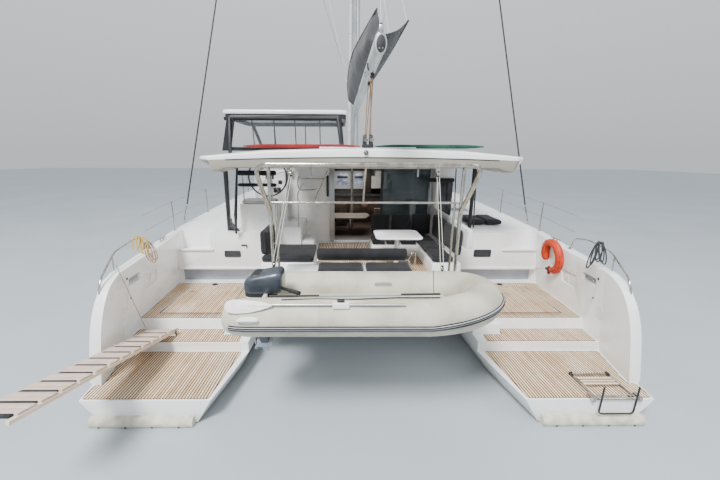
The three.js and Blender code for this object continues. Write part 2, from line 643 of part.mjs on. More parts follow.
// The tender on the davits, its bow to starboard
const TUBE = 210;
const tenderNear = -280;
const tenderFar = 800;
const tenderZ = 1690;
const tenderEnd = -1330;
const bowStart = 600;
const bowTip = 1400;
const BOW_LIFT = 60;
const tenderPath = () => {
  const path = new THREE.CurvePath();
  const mid = (tenderNear + tenderFar) / 2;
  const nearEnd = point(tenderEnd, tenderNear, tenderZ);
  const farEnd = point(tenderEnd, tenderFar, tenderZ);
  const nearBend = point(bowStart, tenderNear, tenderZ);
  const farBend = point(bowStart, tenderFar, tenderZ);
  const bow = point(bowTip, mid, tenderZ + BOW_LIFT);
  path.add(new THREE.LineCurve3(nearEnd, nearBend));
  path.add(new THREE.CubicBezierCurve3(
    nearBend, point(bowStart + 450, tenderNear, tenderZ + 20),
    point(bowTip, tenderNear + 180, tenderZ + BOW_LIFT), bow,
  ));
  path.add(new THREE.CubicBezierCurve3(
    bow, point(bowTip, tenderFar - 180, tenderZ + BOW_LIFT),
    point(bowStart + 450, tenderFar, tenderZ + 20), farBend,
  ));
  path.add(new THREE.LineCurve3(farBend, farEnd));
  return path;
};
function tenderTubeShape(radius) {
  const cones = [tenderNear, tenderFar].map((s) => {
    const cone = new THREE.CylinderGeometry(radius * 0.45, radius, 300, 14).rotateZ(Math.PI / 2);
    return cone.translate(tenderEnd - 148, along(s), tenderZ);
  });
  return join(sweep(tenderPath(), radius, 44, 14), ...cones);
}
place('tender_tube', tenderTubeShape(TUBE), rubberTube);
const TRANSOM_X = -1290;
const floorPlan = [
  [TRANSOM_X, tenderNear + 60], [830, tenderNear + 60], [1240, 260],
  [830, tenderFar - 60], [TRANSOM_X, tenderFar - 60],
];
const transomBoard = (grow) => block(
  [TRANSOM_X - grow, TRANSOM_X + 40 + grow], [tenderNear + 20, tenderFar - 20], [1560, 1960 + grow],
);
const keelStrip = prism('y', [[TRANSOM_X, 1545], [1000, 1545], [820, 1440], [TRANSOM_X, 1400]], 250, 270);
const tenderFloor = cut(
  join(prism('z', floorPlan, 1540, 1580), transomBoard(0), keelStrip),
  tenderTubeShape(TUBE + GAP),
);
place('tender_floor', tenderFloor, rubberTube);
const falls = [
  rod(point(-1000, BAR_S, BAR_Z), point(-1270, 600, 1940), 7, 8),
  rod(point(900, BAR_S, BAR_Z), point(1050, 725, 1830), 7, 8),
];
const arch = cut(join(aftBar, crossRail, ...archSides, ...falls), tenderTubeShape(TUBE + GAP));
place('davit_arch', seat(arch, tenderFloor, [0, 0, 1]), steel);

const motorX = -1400;
const MOTOR_LOW = 1040;
const outboardParts = join(
  prism('z', roundedOutline(motorX - 170, motorX + 250, 110, 420, 90), 1760, 2110),
  block([motorX - 30, motorX + 100], [200, 330], [MOTOR_LOW - 20, 1850]),
  block([motorX - 20, motorX + 200], [190, 340], [1700, 1990]),
  rod(point(motorX - 150, 265, MOTOR_LOW), point(motorX + 150, 265, MOTOR_LOW), 48, 10),
);
const outboard = cut(outboardParts, transomBoard(GAP));
place('outboard', outboard, cowling);

// Forward crossbeam with the longeron and bowsprit, and the two nets
const CROSSBEAM_S = 12900;
const LONGERON_HALF = 60;
const NET_INNER = LONGERON_HALF + GAP;
const longeronSide = [
  [10300 + GAP, 1760], [CROSSBEAM_S, 1880], [14150, 1960],
  [14150, 2060], [CROSSBEAM_S, 2040], [10300 + GAP, 1930],
];
const beam = join(
  rod(point(-2900, CROSSBEAM_S, 1960), point(2900, CROSSBEAM_S, 1960), 70, 12),
  prism('x', longeronSide, -LONGERON_HALF, LONGERON_HALF),
);
const seatedBeam = seat(seat(beam, hulls[1], [-1, 0, 0]), hulls[-1], [1, 0, 0]);
place('crossbeam', seatedBeam, aluminium);
for (const side of [-1, 1]) {
  const run = [10340, 11600, 12700, 12815];
  const net = [
    [side * NET_INNER, run[0]],
    ...run.map((s) => [side * (stationAt(s, 'inner') - GAP), s]),
    [side * NET_INNER, run[3]],
  ];
  place(`trampoline_${sideName(side)}`, prism('z', net, 1945, 1957), netting);
}

// Mast with swept spreaders and shrouds to the hulls' sides, the furled headsail, the boom and its bag
const mastOutline = Array.from({ length: 16 }, (_, i) => {
  const angle = (i * Math.PI) / 8;
  return [105 * Math.cos(angle), MAST_S + MAST_HALF * Math.sin(angle)];
});
const spreaders = [9600, 15000].flatMap((z) => [-1, 1].map((side) =>
  rod(point(0, MAST_S, z), point(side * 1700, MAST_S - 480, z + 60), 28, 8)));
const GOOSENECK_S = MAST_S - MAST_HALF - 60;
const PIN_HALF = 80;
const lugs = [-1, 1].map((side) => {
  const [near, far] = [GOOSENECK_Z + side * (PIN_HALF + GAP), GOOSENECK_Z + side * (PIN_HALF + 16)];
  return block([-32, 32], [GOOSENECK_S - 30, MAST_S - 120], [Math.min(near, far), Math.max(near, far)]);
});
const SHROUD = { x: 4050, s: 3950, foot: 1890, head: 20700, radius: 12 };
const shrouds = [-1, 1].flatMap((side) => {
  const chainplate = block(spanOf(side, 4030, 4062), [SHROUD.s - 30, SHROUD.s + 30], [1560, 1920]);
  const foot = point(side * SHROUD.x, SHROUD.s, SHROUD.foot);
  return [
    seat(chainplate, hulls[side], [side, 0, 0]),
    rod(foot, point(0, MAST_S, SHROUD.head), SHROUD.radius, 6),
  ];
});
const mast = join(prism('z', mastOutline, 3560 + GAP, MASTHEAD), ...spreaders, ...lugs, ...shrouds);
place('mast', mast, aluminium);
const stayFoot = point(0, 14060, 2040);
const stayHead = point(0, MAST_S, 18300);
const onStay = (t) => stayFoot.clone().lerp(stayHead, t);
const headsail = join(rod(onStay(0), onStay(1), 9, 6), rod(onStay(0.03), onStay(0.93), 75, 10));
place('headsail', seat(seat(headsail, mast, [0, 1, 0]), seatedBeam, [0, 0, 1]), sailcloth);

const boomGroup = pivotGroup(0, GOOSENECK_S, GOOSENECK_Z);
boomGroup.rotation.z = THREE.MathUtils.degToRad(1.3);
const BOOM_LENGTH = 4865;
const BOOM_RISE = 130;
const BOOM_START = 60;
const BOOM_HEIGHT = [118, 112];
const boomRing = (t, width, height) => Array.from({ length: 12 }, (_, i) => {
  const angle = (i * Math.PI) / 6;
  const centre = BOOM_RISE * t;
  const y = -BOOM_START - BOOM_LENGTH * t;
  return new THREE.Vector3(width * Math.cos(angle), y, centre + height * Math.sin(angle));
});
const gooseneck = new THREE.CylinderGeometry(22, 22, 2 * PIN_HALF, 10).rotateX(Math.PI / 2);
const toggle = new THREE.BoxGeometry(28, 100, 60).translate(0, -50, 0);
const boomBody = loft([
  boomRing(0, 60, 100), boomRing(0.04, 68, BOOM_HEIGHT[0]), boomRing(1, 65, BOOM_HEIGHT[1]),
]);
place('boom', join(boomBody, gooseneck, toggle), aluminium, boomGroup);
// The bag hangs open in two flaps; each row is a share of the boom, then the rim's place beside
// the boom's axis and above it, first the port rim and then the starboard one
const BAG_RIMS = [
  [0.04, [-200, 345], [160, 285]],
  [0.14, [-234, 510], [206, 350]],
  [0.34, [-245, 580], [246, 330]],
  [0.55, [-225, 550], [285, 300]],
  [0.71, [-170, 490], [325, 300]],
  [0.97, [-40, 400], [340, 280]],
];
const FLAP_BULGE = 12;
const FLAP_THICK = [18, 10];
const BAG_FLOOR = 60;
const bagRing = ([t, portRim, starboardRim]) => {
  const crest = mix(...BOOM_HEIGHT, (t - 0.04) / 0.96) + GAP;
  const flap = (rim, side) => {
    const foot = [side * 60, crest];
    const middle = [mix(foot[0], rim[0], 0.5) + side * FLAP_BULGE, mix(crest, rim[1], 0.5)];
    const inward = ([x, z]) => [x - side * FLAP_THICK[0], z + FLAP_THICK[1]];
    return [foot, middle, rim, inward(rim), inward(middle), [side * 30, crest + BAG_FLOOR]];
  };
  const outline = [...flap(portRim, -1), ...flap(starboardRim, 1).reverse()];
  return outline.map(([x, z]) => new THREE.Vector3(x, -BOOM_START - BOOM_LENGTH * t, z + BOOM_RISE * t));
};
const bagRings = BAG_RIMS.map(bagRing);
place('sail_bag', loft(bagRings), canvas, boomGroup);

// Stern rails over the bulwark caps, each with a stanchion amidships
const RAIL_INSET = [15, 85];
for (const side of [-1, 1]) {
  const x = (s) => side * (stationAt(s, 'rail') - mix(...RAIL_INSET, (s - 530) / 1500));
  const on = (s, z) => point(x(s), s, z);
  const railBend = [on(700, 1725), on(1200, 1980)];
  const rail = bentTube(
    [on(530, 1300), ...railBend, on(1750, 2035), on(2110, 1970), on(2170, 1650)],
    RAIL_TUBE, 110, 30,
  );
  const top = railBend[0].clone().lerp(railBend[1], 0.84);
  const stanchion = rod(top.clone().setZ(1500), top, 11, 8);
  place(`stern_rail_${sideName(side)}`, seat(join(rail, stanchion), hulls[side], [0, 0, 1]), steel);
}

// Transom fenders
const fenderOutline = [[-GAP, 128], [-50, 120], [-82, 90], [-88, 50], [-78, 10], [-50, -18], [-GAP, -24]];
for (const side of [-1, 1]) {
  const fender = prism('x', fenderOutline, ...spanOf(side, 2270, 3600));
  place(`transom_fender_${sideName(side)}`, fender, rubberTube);
}

// Swimming ladder folded forward on the starboard platform
const ladderSpan = [2930, 3450];
const LADDER_AXIS_S = -30;
const LADDER_HEIGHT = 36;
const ladderZ = PLATFORM + LADDER_HEIGHT;
const ladderMid = (ladderSpan[0] + ladderSpan[1]) / 2;
const ladderGroup = pivotGroup(ladderMid, LADDER_AXIS_S, ladderZ);
const ladderHalf = (ladderSpan[1] - ladderSpan[0]) / 2;
const ladderLength = 500;
const LADDER_TUBE = 15;
const LADDER_SIDES = 24;
const PIN_REACH = 30;
const local = (x, y, z) => new THREE.Vector3(x, y, z);
const crossPiece = (y, depth, height, z) =>
  new THREE.BoxGeometry(2 * ladderHalf, depth, height).translate(0, y, z);
const sideTube = (x) => rod(local(x, 0, 0), local(x, ladderLength, 0), LADDER_TUBE, 10);
const ladderParts = [
  rod(local(-ladderHalf - PIN_REACH, 0, 0), local(ladderHalf + PIN_REACH, 0, 0), LADDER_TUBE, LADDER_SIDES),
  sideTube(-ladderHalf),
  sideTube(ladderHalf),
  ...[270, 325, 380].map((y) => crossPiece(y, 36, 22, 0)),
  crossPiece(ladderLength - 16, 30, LADDER_HEIGHT + 5 - GAP, (5 - LADDER_HEIGHT + GAP) / 2),
];
place('swim_ladder', join(...ladderParts), steel, ladderGroup);
const BORE = (LADDER_TUBE + GAP) / Math.cos(Math.PI / LADDER_SIDES);
const bracketEar = (x0, x1) => block([x0, x1], [-52, 60], [PLATFORM + GAP, PLATFORM + 60]);
const pinEnd = (x) => point(x, LADDER_AXIS_S, ladderZ);
const ladderBracket = cut(
  join(
    bracketEar(ladderSpan[0] - 62, ladderSpan[0] - 22),
    bracketEar(ladderSpan[1] + 22, ladderSpan[1] + 62),
    block([ladderSpan[0] - 62, ladderSpan[1] + 62], [10, 60], [PLATFORM + GAP, PLATFORM + 10]),
  ),
  rod(pinEnd(ladderSpan[0] - PIN_REACH - 1), pinEnd(ladderSpan[1] + PIN_REACH + 1), BORE, LADDER_SIDES),
);
place('ladder_bracket', ladderBracket, steel);

// Gangway hinged on a steel foot on the port first step
const GANGWAY = {
  length: 2650, half: 220, x: -3310, s: 1290, lift: 92, rise: 14.6, slats: 12, pitch: 215,
};
const gangwayGroup = pivotGroup(GANGWAY.x, GANGWAY.s, FIRST_STEP + GANGWAY.lift);
gangwayGroup.rotation.x = -THREE.MathUtils.degToRad(GANGWAY.rise);
const stringer = (side) => {
  const beside = side * (GANGWAY.half - 17);
  return new THREE.BoxGeometry(34, GANGWAY.length, 60).translate(beside, -GANGWAY.length / 2, 0);
};
const slats = Array.from({ length: GANGWAY.slats }, (_, i) => {
  const slat = new THREE.BoxGeometry(2 * GANGWAY.half - 20, GANGWAY.pitch - 25, 22);
  return slat.translate(0, -120 - i * GANGWAY.pitch, 19);
});
const hingePin = rod(local(-GANGWAY.half, 0, 0), local(GANGWAY.half, 0, 0), 20, 10);
place('gangway', join(hingePin, stringer(-1), stringer(1), ...slats), teak, gangwayGroup);
const footRun = [GANGWAY.s - 30, GANGWAY.s + 30];
const cheek = (near, far) =>
  block([GANGWAY.x + near, GANGWAY.x + far], footRun, [FIRST_STEP + GAP, FIRST_STEP + 122]);
const cheekNear = GANGWAY.half + GAP;
const footPlate = block(
  [GANGWAY.x - cheekNear - 24, GANGWAY.x + cheekNear + 24], footRun, [FIRST_STEP + GAP, FIRST_STEP + 8],
);
const cheeks = [cheek(-cheekNear - 24, -cheekNear), cheek(cheekNear, cheekNear + 24)];
place('gangway_foot', join(footPlate, ...cheeks), steel);

// Horseshoe lifebuoy, flat against the leaning face of the starboard bulwark
const BUOY_TUBE = 58;
const BUOY_S = 2400;
const BUOY_Z = 1545;
const faceRun = [SECOND_RISER - 5, LOCKER_WALL];
const onFace = (s, z) => {
  const share = (s - faceRun[0]) / (faceRun[1] - faceRun[0]);
  return point(mix(bulwarkFace(faceRun[0], z), bulwarkFace(faceRun[1], z), share), s, z);
};
const faceRunning = onFace(faceRun[1], BUOY_Z).sub(onFace(faceRun[0], BUOY_Z)).normalize();
const faceNormal = faceRunning.clone().cross(new THREE.Vector3(-BULWARK_LEAN, 0, 1)).normalize();
const faceUp = faceNormal.clone().cross(faceRunning);
const buoy = new THREE.Group();
buoy.position.copy(onFace(BUOY_S, BUOY_Z).addScaledVector(faceNormal, -BUOY_TUBE - 2 * GAP));
buoy.quaternion.setFromRotationMatrix(new THREE.Matrix4().makeBasis(faceNormal, faceRunning, faceUp));
boat.add(buoy);
const horseshoe = new THREE.CatmullRomCurve3(
  [[-190, -290], [-225, -60], [-205, 140], [-90, 265], [90, 265], [205, 140], [225, -60], [190, -290]]
    .map(([y, z]) => new THREE.Vector3(0, y, z)),
);
place('lifebuoy', sweep(horseshoe, BUOY_TUBE, 24, 10), orange, buoy);

export default boat;
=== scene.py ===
"""A cruising catamaran moored stern-to: its looks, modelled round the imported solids.

Metres. +X is starboard, +Y is the bow, +Z is up, and the waterline is at Z = 0.
Places along the boat are written as s, forward of the stern.
"""
import json
import math

import bpy
from mathutils import Matrix, Vector


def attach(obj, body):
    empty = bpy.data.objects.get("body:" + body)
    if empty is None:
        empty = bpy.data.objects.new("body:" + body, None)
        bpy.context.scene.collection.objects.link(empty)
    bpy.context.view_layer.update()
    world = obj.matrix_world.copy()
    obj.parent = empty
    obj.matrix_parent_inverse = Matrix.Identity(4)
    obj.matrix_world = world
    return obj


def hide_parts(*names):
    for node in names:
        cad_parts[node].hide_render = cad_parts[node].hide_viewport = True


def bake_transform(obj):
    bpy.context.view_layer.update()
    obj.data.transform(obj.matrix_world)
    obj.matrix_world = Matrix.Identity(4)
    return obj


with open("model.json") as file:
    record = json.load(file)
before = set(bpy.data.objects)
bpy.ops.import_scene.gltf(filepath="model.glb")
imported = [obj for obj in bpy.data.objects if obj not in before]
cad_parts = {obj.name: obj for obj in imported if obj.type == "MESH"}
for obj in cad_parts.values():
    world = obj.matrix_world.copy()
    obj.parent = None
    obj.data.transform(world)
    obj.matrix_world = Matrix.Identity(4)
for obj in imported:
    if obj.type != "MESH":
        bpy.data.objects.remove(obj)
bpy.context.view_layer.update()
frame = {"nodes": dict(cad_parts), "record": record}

HALF_LENGTH = 6.9
PORT, STARBOARD = -1, 1
SIDES = {PORT: "port", STARBOARD: "starboard"}

# Heights and edges of the stern, as the solids have them
PLATFORM, FIRST_STEP, UPPER_STEP, SOLE = 0.354, 0.51, 0.70, 1.25
FIRST_RISER, LOCKER_WALL, TOE_DEPTH, LOCKER_TOE = 1.08, 3.10, 0.22, 1.03
# A bulwark's inner face: its foot at the stern, its depth inside the hull's side, where it starts, its slope
FACE_FOOT, FACE_DEPTH, FACE_START, FACE_SLOPE = 3.5, 0.115, 0.3, 0.12

# Hull lines: s, outer side, rail, sheer height
STATIONS = [
    (0.0, 3.745, 3.64, 1.70), (0.6, 3.83, 3.69, 1.70), (1.05, 3.935, 3.83, 1.71), (2.2, 4.03, 3.96, 1.76),
    (3.1, 4.075, 4.015, 1.83), (4.8, 4.10, 4.065, 1.90), (7.2, 4.10, 4.085, 2.0), (9.2, 4.03, 4.025, 2.06),
    (10.3, 3.915, 3.915, 2.085), (11.6, 3.67, 3.67, 2.11), (12.7, 3.38, 3.38, 2.12),
    (13.4, 3.14, 3.14, 2.125), (13.8, 2.96, 2.96, 2.13),
]
OUTER, RAIL, SHEER = 1, 2, 3


def line(s, column):
    for a, b in zip(STATIONS, STATIONS[1:]):
        if s <= b[0]:
            share = (s - a[0]) / (b[0] - a[0])
            return a[column] + (b[column] - a[column]) * share
    return STATIONS[-1][column]


def face(s, z):
    """How far out the leaning inner face of a bulwark is."""
    foot = FACE_FOOT if s <= 0 else line(s, OUTER) - FACE_DEPTH
    if s < FIRST_RISER:
        fore = line(FIRST_RISER, OUTER) - FACE_DEPTH
        foot = FACE_FOOT + (fore - FACE_FOOT) * (s + FACE_START) / (FIRST_RISER + FACE_START)
    return foot - FACE_SLOPE * (z - PLATFORM)


def at(x, s, z):
    return Vector((x, s - HALF_LENGTH, z))


def srgb(code):
    """A hex colour as linear red, green, blue and alpha."""
    parts = [int(code[i:i + 2], 16) / 255 for i in (1, 3, 5)]
    return (*(c / 12.92 if c <= 0.04045 else ((c + 0.055) / 1.055) ** 2.4 for c in parts), 1.0)


def add(tree, kind, inputs=None, **settings):
    """Adds a shader node with its settings, its values and its links."""
    node = tree.nodes.new("ShaderNode" + kind)
    for name, value in settings.items():
        setattr(node, name, value)
    for socket, value in (inputs or {}).items():
        if isinstance(value, bpy.types.NodeSocket):
            tree.links.new(value, node.inputs[socket])
        else:
            node.inputs[socket].default_value = value
    return node


def maths(tree, operation, *values):
    """One step of arithmetic on numbers and sockets."""
    return add(tree, "Math", dict(enumerate(values)), operation=operation).outputs[0]


def noise(tree, place, scale, detail):
    return add(tree, "TexNoise", {"Vector": place, "Scale": scale, "Detail": detail}).outputs["Fac"]


def scaled(tree, place, scale):
    return add(tree, "Mapping", {"Vector": place, "Scale": scale}).outputs["Vector"]


def axis_of(tree, place, letter):
    return add(tree, "SeparateXYZ", {"Vector": place}).outputs[letter]


def ranged(tree, value, start, end, to_start, to_end):
    """A value carried from one range to another."""
    sockets = ("Value", "From Min", "From Max", "To Min", "To Max")
    values = (value, start, end, to_start, to_end)
    return add(tree, "MapRange", dict(zip(sockets, values))).outputs["Result"]


def mixed(tree, share, a, b):
    return add(tree, "Mix", {"Factor": share, "A": a, "B": b}, data_type="RGBA").outputs["Result"]


def ramp(tree, value, *stops):
    """The colour that a value has on a ramp; a stop is a place with its colour."""
    node = add(tree, "ValToRGB", {"Fac": value})
    elements = node.color_ramp.elements
    while len(elements) < len(stops):
        elements.new(0.5)
    for element, (place, code) in zip(elements, stops):
        element.position = place
        element.color = srgb(code)
    return node.outputs["Color"]


def new_material(name, **values):
    """A material, its nodes, its shader, and the place on the object that its textures use."""
    material = bpy.data.materials.new(name)
    material.use_nodes = True
    tree = material.node_tree
    shader = tree.nodes["Principled BSDF"]
    for socket, value in values.items():
        shader.inputs[socket.replace("_", " ")].default_value = value
    return material, tree, shader, add(tree, "TexCoord").outputs["Object"]


def finish_surface(tree, shader, colour, roughness=None, height=None, depth=0.001, strength=0.3):
    tree.links.new(colour, shader.inputs["Base Color"])
    if roughness is not None:
        tree.links.new(roughness, shader.inputs["Roughness"])
    if height is not None:
        bump = add(tree, "Bump", {"Height": height, "Distance": depth, "Strength": strength})
        tree.links.new(bump.outputs["Normal"], shader.inputs["Normal"])


def mottled(name, dark, light, patch, grain, rough, depth, strength=0.25, **values):
    """A finish whose colour drifts in patches and whose skin has a fine grain, sizes in metres."""
    material, tree, shader, place = new_material(name, **values)
    patches = noise(tree, place, 1 / patch, 4.0)
    finish_surface(tree, shader, ramp(tree, patches, (0.35, dark), (0.65, light)),
                   ranged(tree, patches, 0.3, 0.7, *rough), noise(tree, place, 1 / grain, 2.0), depth,
                   strength)
    return material


WHITE = ((0.3, "#ececec"), (0.7, "#f5f5f3"))


def hull_gelcoat():
    """Moulded gelcoat: glossy white polyester, stained at the water, with dark bottom paint below it."""
    material, tree, shader, place = new_material(
        "moulded gelcoat", IOR=1.5, Coat_Weight=0.35, Coat_Roughness=0.12)
    patches = noise(tree, place, 1.3, 5.0)
    height = axis_of(tree, place, "Z")
    streaks = noise(tree, scaled(tree, place, (9.0, 9.0, 1.2)), 1.0, 4.0)
    stain = ranged(tree, maths(tree, "MULTIPLY_ADD", streaks, 0.12, height), 0.08, 0.26, 0.6, 0.0)
    dirty = mixed(tree, stain, ramp(tree, patches, *WHITE), srgb("#b9b49f"))
    painted = mixed(tree, maths(tree, "LESS_THAN", height, 0.015), dirty, srgb("#2a3037"))
    finish_surface(tree, shader, painted, ranged(tree, patches, 0.3, 0.7, 0.2, 0.34),
                   noise(tree, place, 60.0, 1.0), 0.0004, 0.15)
    return material


def planked_teak(name, pitch, caulk, stops, toe_in=0.0, run="Y", seam="#3a2f28"):
    """Oiled teak planks with caulked seams: bleached, each plank its own tone, with a long fine grain."""
    material, tree, shader, place = new_material(name, Roughness=0.7, IOR=1.5)
    across_axis, along_axis = ("X", "Y") if run == "Y" else ("Y", "X")
    across = axis_of(tree, place, across_axis)
    if run == "Y":
        across = maths(tree, "ABSOLUTE", across)
    drift = maths(tree, "MULTIPLY_ADD", axis_of(tree, place, along_axis), math.tan(toe_in), across)
    count = maths(tree, "DIVIDE", drift, pitch)
    in_seam = maths(tree, "LESS_THAN", maths(tree, "FRACT", count), caulk / pitch)
    plank = maths(tree, "FLOOR", count)
    tone = add(tree, "TexWhiteNoise", {"W": plank}, noise_dimensions="1D").outputs["Value"]
    fine = (400.0, 9.0, 400.0) if run == "Y" else (9.0, 400.0, 400.0)
    grain = noise(tree, scaled(tree, place, fine), 1.0, 5.0)
    worn = maths(tree, "MULTIPLY_ADD", noise(tree, place, 2.6, 5.0), 0.55, -0.02)
    shade = maths(tree, "MULTIPLY_ADD", grain, 0.4, maths(tree, "MULTIPLY_ADD", tone, 0.3, worn))
    relief = maths(tree, "MULTIPLY_ADD", grain, 0.25, maths(tree, "SUBTRACT", 1.0, in_seam))
    finish_surface(tree, shader, mixed(tree, in_seam, ramp(tree, shade, *stops), srgb(seam)), None, relief,
                   0.0015, 0.6)
    return material


def woven(name, dark, light, thread, sheen=0.3):
    """Woven cloth: threads over and under, matt with a soft sheen; threads are drawn coarser than real."""
    material, tree, shader, place = new_material(
        name, Roughness=0.85, Sheen_Weight=sheen, Sheen_Roughness=0.5)
    threads = scaled(tree, place, (1 / thread,) * 3)
    waves = [maths(tree, "SINE", maths(tree, "MULTIPLY", axis_of(tree, threads, letter), math.pi))
             for letter in "XYZ"]
    weave = maths(tree, "MULTIPLY_ADD", waves[2], 0.5, maths(tree, "MULTIPLY", waves[0], waves[1]))
    tone = maths(tree, "MULTIPLY_ADD", weave, 0.14, noise(tree, place, 5.0, 6.0))
    finish_surface(tree, shader, ramp(tree, tone, (0.3, dark), (0.75, light)), None, weave, 0.0006, 0.5)
    return material


def laid_rope(name, dark, light, lay=0.012):
    """Braided polyester rope: crossing strands in a small diamond pattern, with painted highlights on the
    strands and painted shade between them.
    """
    material, tree, shader, place = new_material(name, Roughness=0.8, Sheen_Weight=0.2)
    strands_with_painted_light = add(tree, "TexWave", {"Vector": place, "Scale": 1 / lay, "Distortion": 1.5, "Detail": 1.0},
                  bands_direction="DIAGONAL").outputs["Fac"]
    finish_surface(tree, shader, ramp(tree, strands_with_painted_light, (0.2, dark), (0.7, light)), None, strands_with_painted_light, 0.001, 0.5)
    return material


def see_through(name, dark, light, clear, rough=0.03, **values):
    """A clear sheet: mostly what is behind it, with the sky's shine and a tint of its own."""
    material, tree, shader, place = new_material(name, Roughness=rough, IOR=1.5, Alpha=1 - clear, **values)
    ripple = noise(tree, place, 3.0, 3.0)
    finish_surface(tree, shader, ramp(tree, ripple, (0.3, dark), (0.7, light)), None, ripple, 0.004, 0.25)
    return material


def netting_cord():
    """Knotless polyamide net: white cords on a 30 mm square grid, with painted shade in the gaps between
    them.
    """
    material, tree, shader, place = new_material("knotless polyamide net", Roughness=0.85)
    cords = []
    for letter in "XY":
        inside = maths(tree, "FRACT", maths(tree, "DIVIDE", axis_of(tree, place, letter), 0.03))
        cords.append(maths(tree, "LESS_THAN", inside, 0.3))
    cord = maths(tree, "MAXIMUM", *cords)
    # The gaps are painted dark grey as the shade seen through the net
    finish_surface(tree, shader, mixed(tree, cord, srgb("#4b4f55"), srgb("#dcdcd6")), None, cord, 0.004, 0.6)
    return material


def panelled_sail():
    """Woven polyester sailcloth: off-white, crisp, darker in its creases as painted shade, with a seam every
    0.9 m up the roll.
    """
    material, tree, shader, place = new_material(
        "woven polyester sailcloth", Roughness=0.6, Sheen_Weight=0.1)
    crease_with_painted_shade = noise(tree, scaled(tree, place, (14.0, 3.0, 3.0)), 1.0, 4.0)
    inside = maths(tree, "FRACT", maths(tree, "DIVIDE", axis_of(tree, place, "Z"), 0.9))
    # The colour darkens with the creases: painted shade
    cloth = ramp(tree, crease_with_painted_shade, (0.3, "#d3d4d0"), (0.7, "#ecebe6"))
    finish_surface(tree, shader, mixed(tree, maths(tree, "LESS_THAN", inside, 0.03), cloth, srgb("#b9b8b0")),
                   None, crease_with_painted_shade, 0.01, 0.5)
    return material


# Where painted shade stands in for the aft lip's drawn-in lower half: its height amidships, its crown, and
# how far forward it reaches
SHADE_LINE_HEIGHT, SHADE_LINE_CROWN, SHADE_LINE_FORE = 3.385, 0.008, 2.12


def roof_with_painted_shade():
    """Gelcoat above, with painted shade in warm grey on what faces down and on the lower half of the aft
    lip.
    """
    material, tree, shader, place = new_material("gelcoat roof with painted underside shade", IOR=1.5, Coat_Weight=0.25)
    down = maths(tree, "LESS_THAN", axis_of(tree, add(tree, "NewGeometry").outputs["Normal"], "Z"), -0.3)
    x = axis_of(tree, place, "X")
    level = maths(tree, "MULTIPLY_ADD", maths(tree, "MULTIPLY", x, x), SHADE_LINE_CROWN, axis_of(tree, place, "Z"))
    low = maths(tree, "LESS_THAN", level, SHADE_LINE_HEIGHT)
    aft = maths(tree, "LESS_THAN", axis_of(tree, place, "Y"), SHADE_LINE_FORE - HALF_LENGTH)
    shaded = maths(tree, "MAXIMUM", maths(tree, "MULTIPLY", low, aft), down)
    patches = noise(tree, place, 1.3, 5.0)
    lining = ramp(tree, patches, (0.3, "#8b867a"), (0.7, "#9b968a"))
    finish_surface(tree, shader, mixed(tree, shaded, ramp(tree, patches, *WHITE), lining),
                   ranged(tree, shaded, 0.0, 1.0, 0.25, 0.6), patches, 0.0005, 0.1)
    return material


# Finishes
GELCOAT = hull_gelcoat()
# The roof's gelcoat, with painted shade on its underside and on the lower half of its aft lip
ROOF_GELCOAT_WITH_SHADE = roof_with_painted_shade()
# Non-skid gelcoat: the same white with a moulded pebble grain that takes the shine off the decks
NON_SKID = mottled("non-skid gelcoat", "#d6d8da", "#e2e3e4", 0.5, 0.004, (0.5, 0.65), 0.002, 0.6)
# Grey gelcoat: grey moulded parts, and on the backs of recesses and toe spaces also painted shade
GREY_GELCOAT = mottled("grey gelcoat", "#9a9eaa", "#a9adb7", 0.4, 0.02, (0.35, 0.5), 0.0005, 0.2)
# Antifouling paint: dull, chalky and roller-textured
ANTIFOULING = mottled("antifouling paint", "#20262d", "#343b44", 0.3, 0.01, (0.75, 0.9), 0.001, 0.5)
# Polished stainless steel: bright, with faint handling marks
STAINLESS = mottled("polished stainless", "#a6a299", "#c6c3bb", 0.08, 0.004, (0.1, 0.22), 0.0002, 0.1,
                    Metallic=1.0)
# Anodised aluminium: satin silver spars
ALUMINIUM = mottled("anodised aluminium", "#b4b7ba", "#c9cbcd", 0.4, 0.002, (0.32, 0.42), 0.0002, 0.1,
                    Metallic=0.85)
# Manganese bronze: yellow-brown, dulled by the water
BRONZE = mottled("cast bronze", "#6f5430", "#9a7845", 0.05, 0.006, (0.35, 0.55), 0.0006, 0.3, Metallic=0.9)
# Smoked acrylic glazing, clear tempered glass, and clear vinyl curtain, slightly rippled
SMOKED = see_through("smoked acrylic", "#171b1f", "#242a2f", 0.25, 0.04, Specular_IOR_Level=0.7)
DOOR_GLASS = see_through("tempered door glass", "#46545a", "#7b898d", 0.68, 0.02)
VINYL = see_through("clear vinyl curtain", "#a9b2b9", "#ced6db", 0.95, 0.08)
# Black moulded nylon of fittings, grilles and straps, and black powder-coated tube
NYLON = mottled("black moulded nylon", "#17181a", "#26282b", 0.05, 0.003, (0.4, 0.6), 0.0004, 0.3)
POWDER = mottled("black powder coat", "#1b1d20", "#2a2c30", 0.2, 0.0025, (0.45, 0.6), 0.0004, 0.3)
CHARCOAL = woven("charcoal acrylic canvas", "#0e0f11", "#1f2026", 0.004, 0.08)
# Piping is the same cloth over a cord, a shade lighter where it is rubbed
PIPING = woven("charcoal piping", "#1b1c20", "#34353c", 0.003, 0.1)
SAIL_COVER = woven("grey acrylic sail cover", "#2b2c2f", "#4b4c50", 0.006, 0.1)
# Coated inflatable fabric: a dull rubbery skin over cloth, warm light grey
HYPALON = mottled("coated inflatable fabric", "#aba695", "#c6c1b1", 0.35, 0.002, (0.55, 0.68), 0.0004, 0.3)
HYPALON_GREY = mottled("grey reinforcing fabric", "#8f9296", "#a6a9ac", 0.2, 0.002, (0.6, 0.75), 0.0004, 0.3)
RUBBER = mottled("extruded rubber", "#17181a", "#2a2c2f", 0.1, 0.003, (0.55, 0.7), 0.0004, 0.3)
STRAKE_RUBBER = mottled("extruded rubber strake", "#070708", "#121314", 0.1, 0.003, (0.7, 0.85), 0.0004, 0.3)
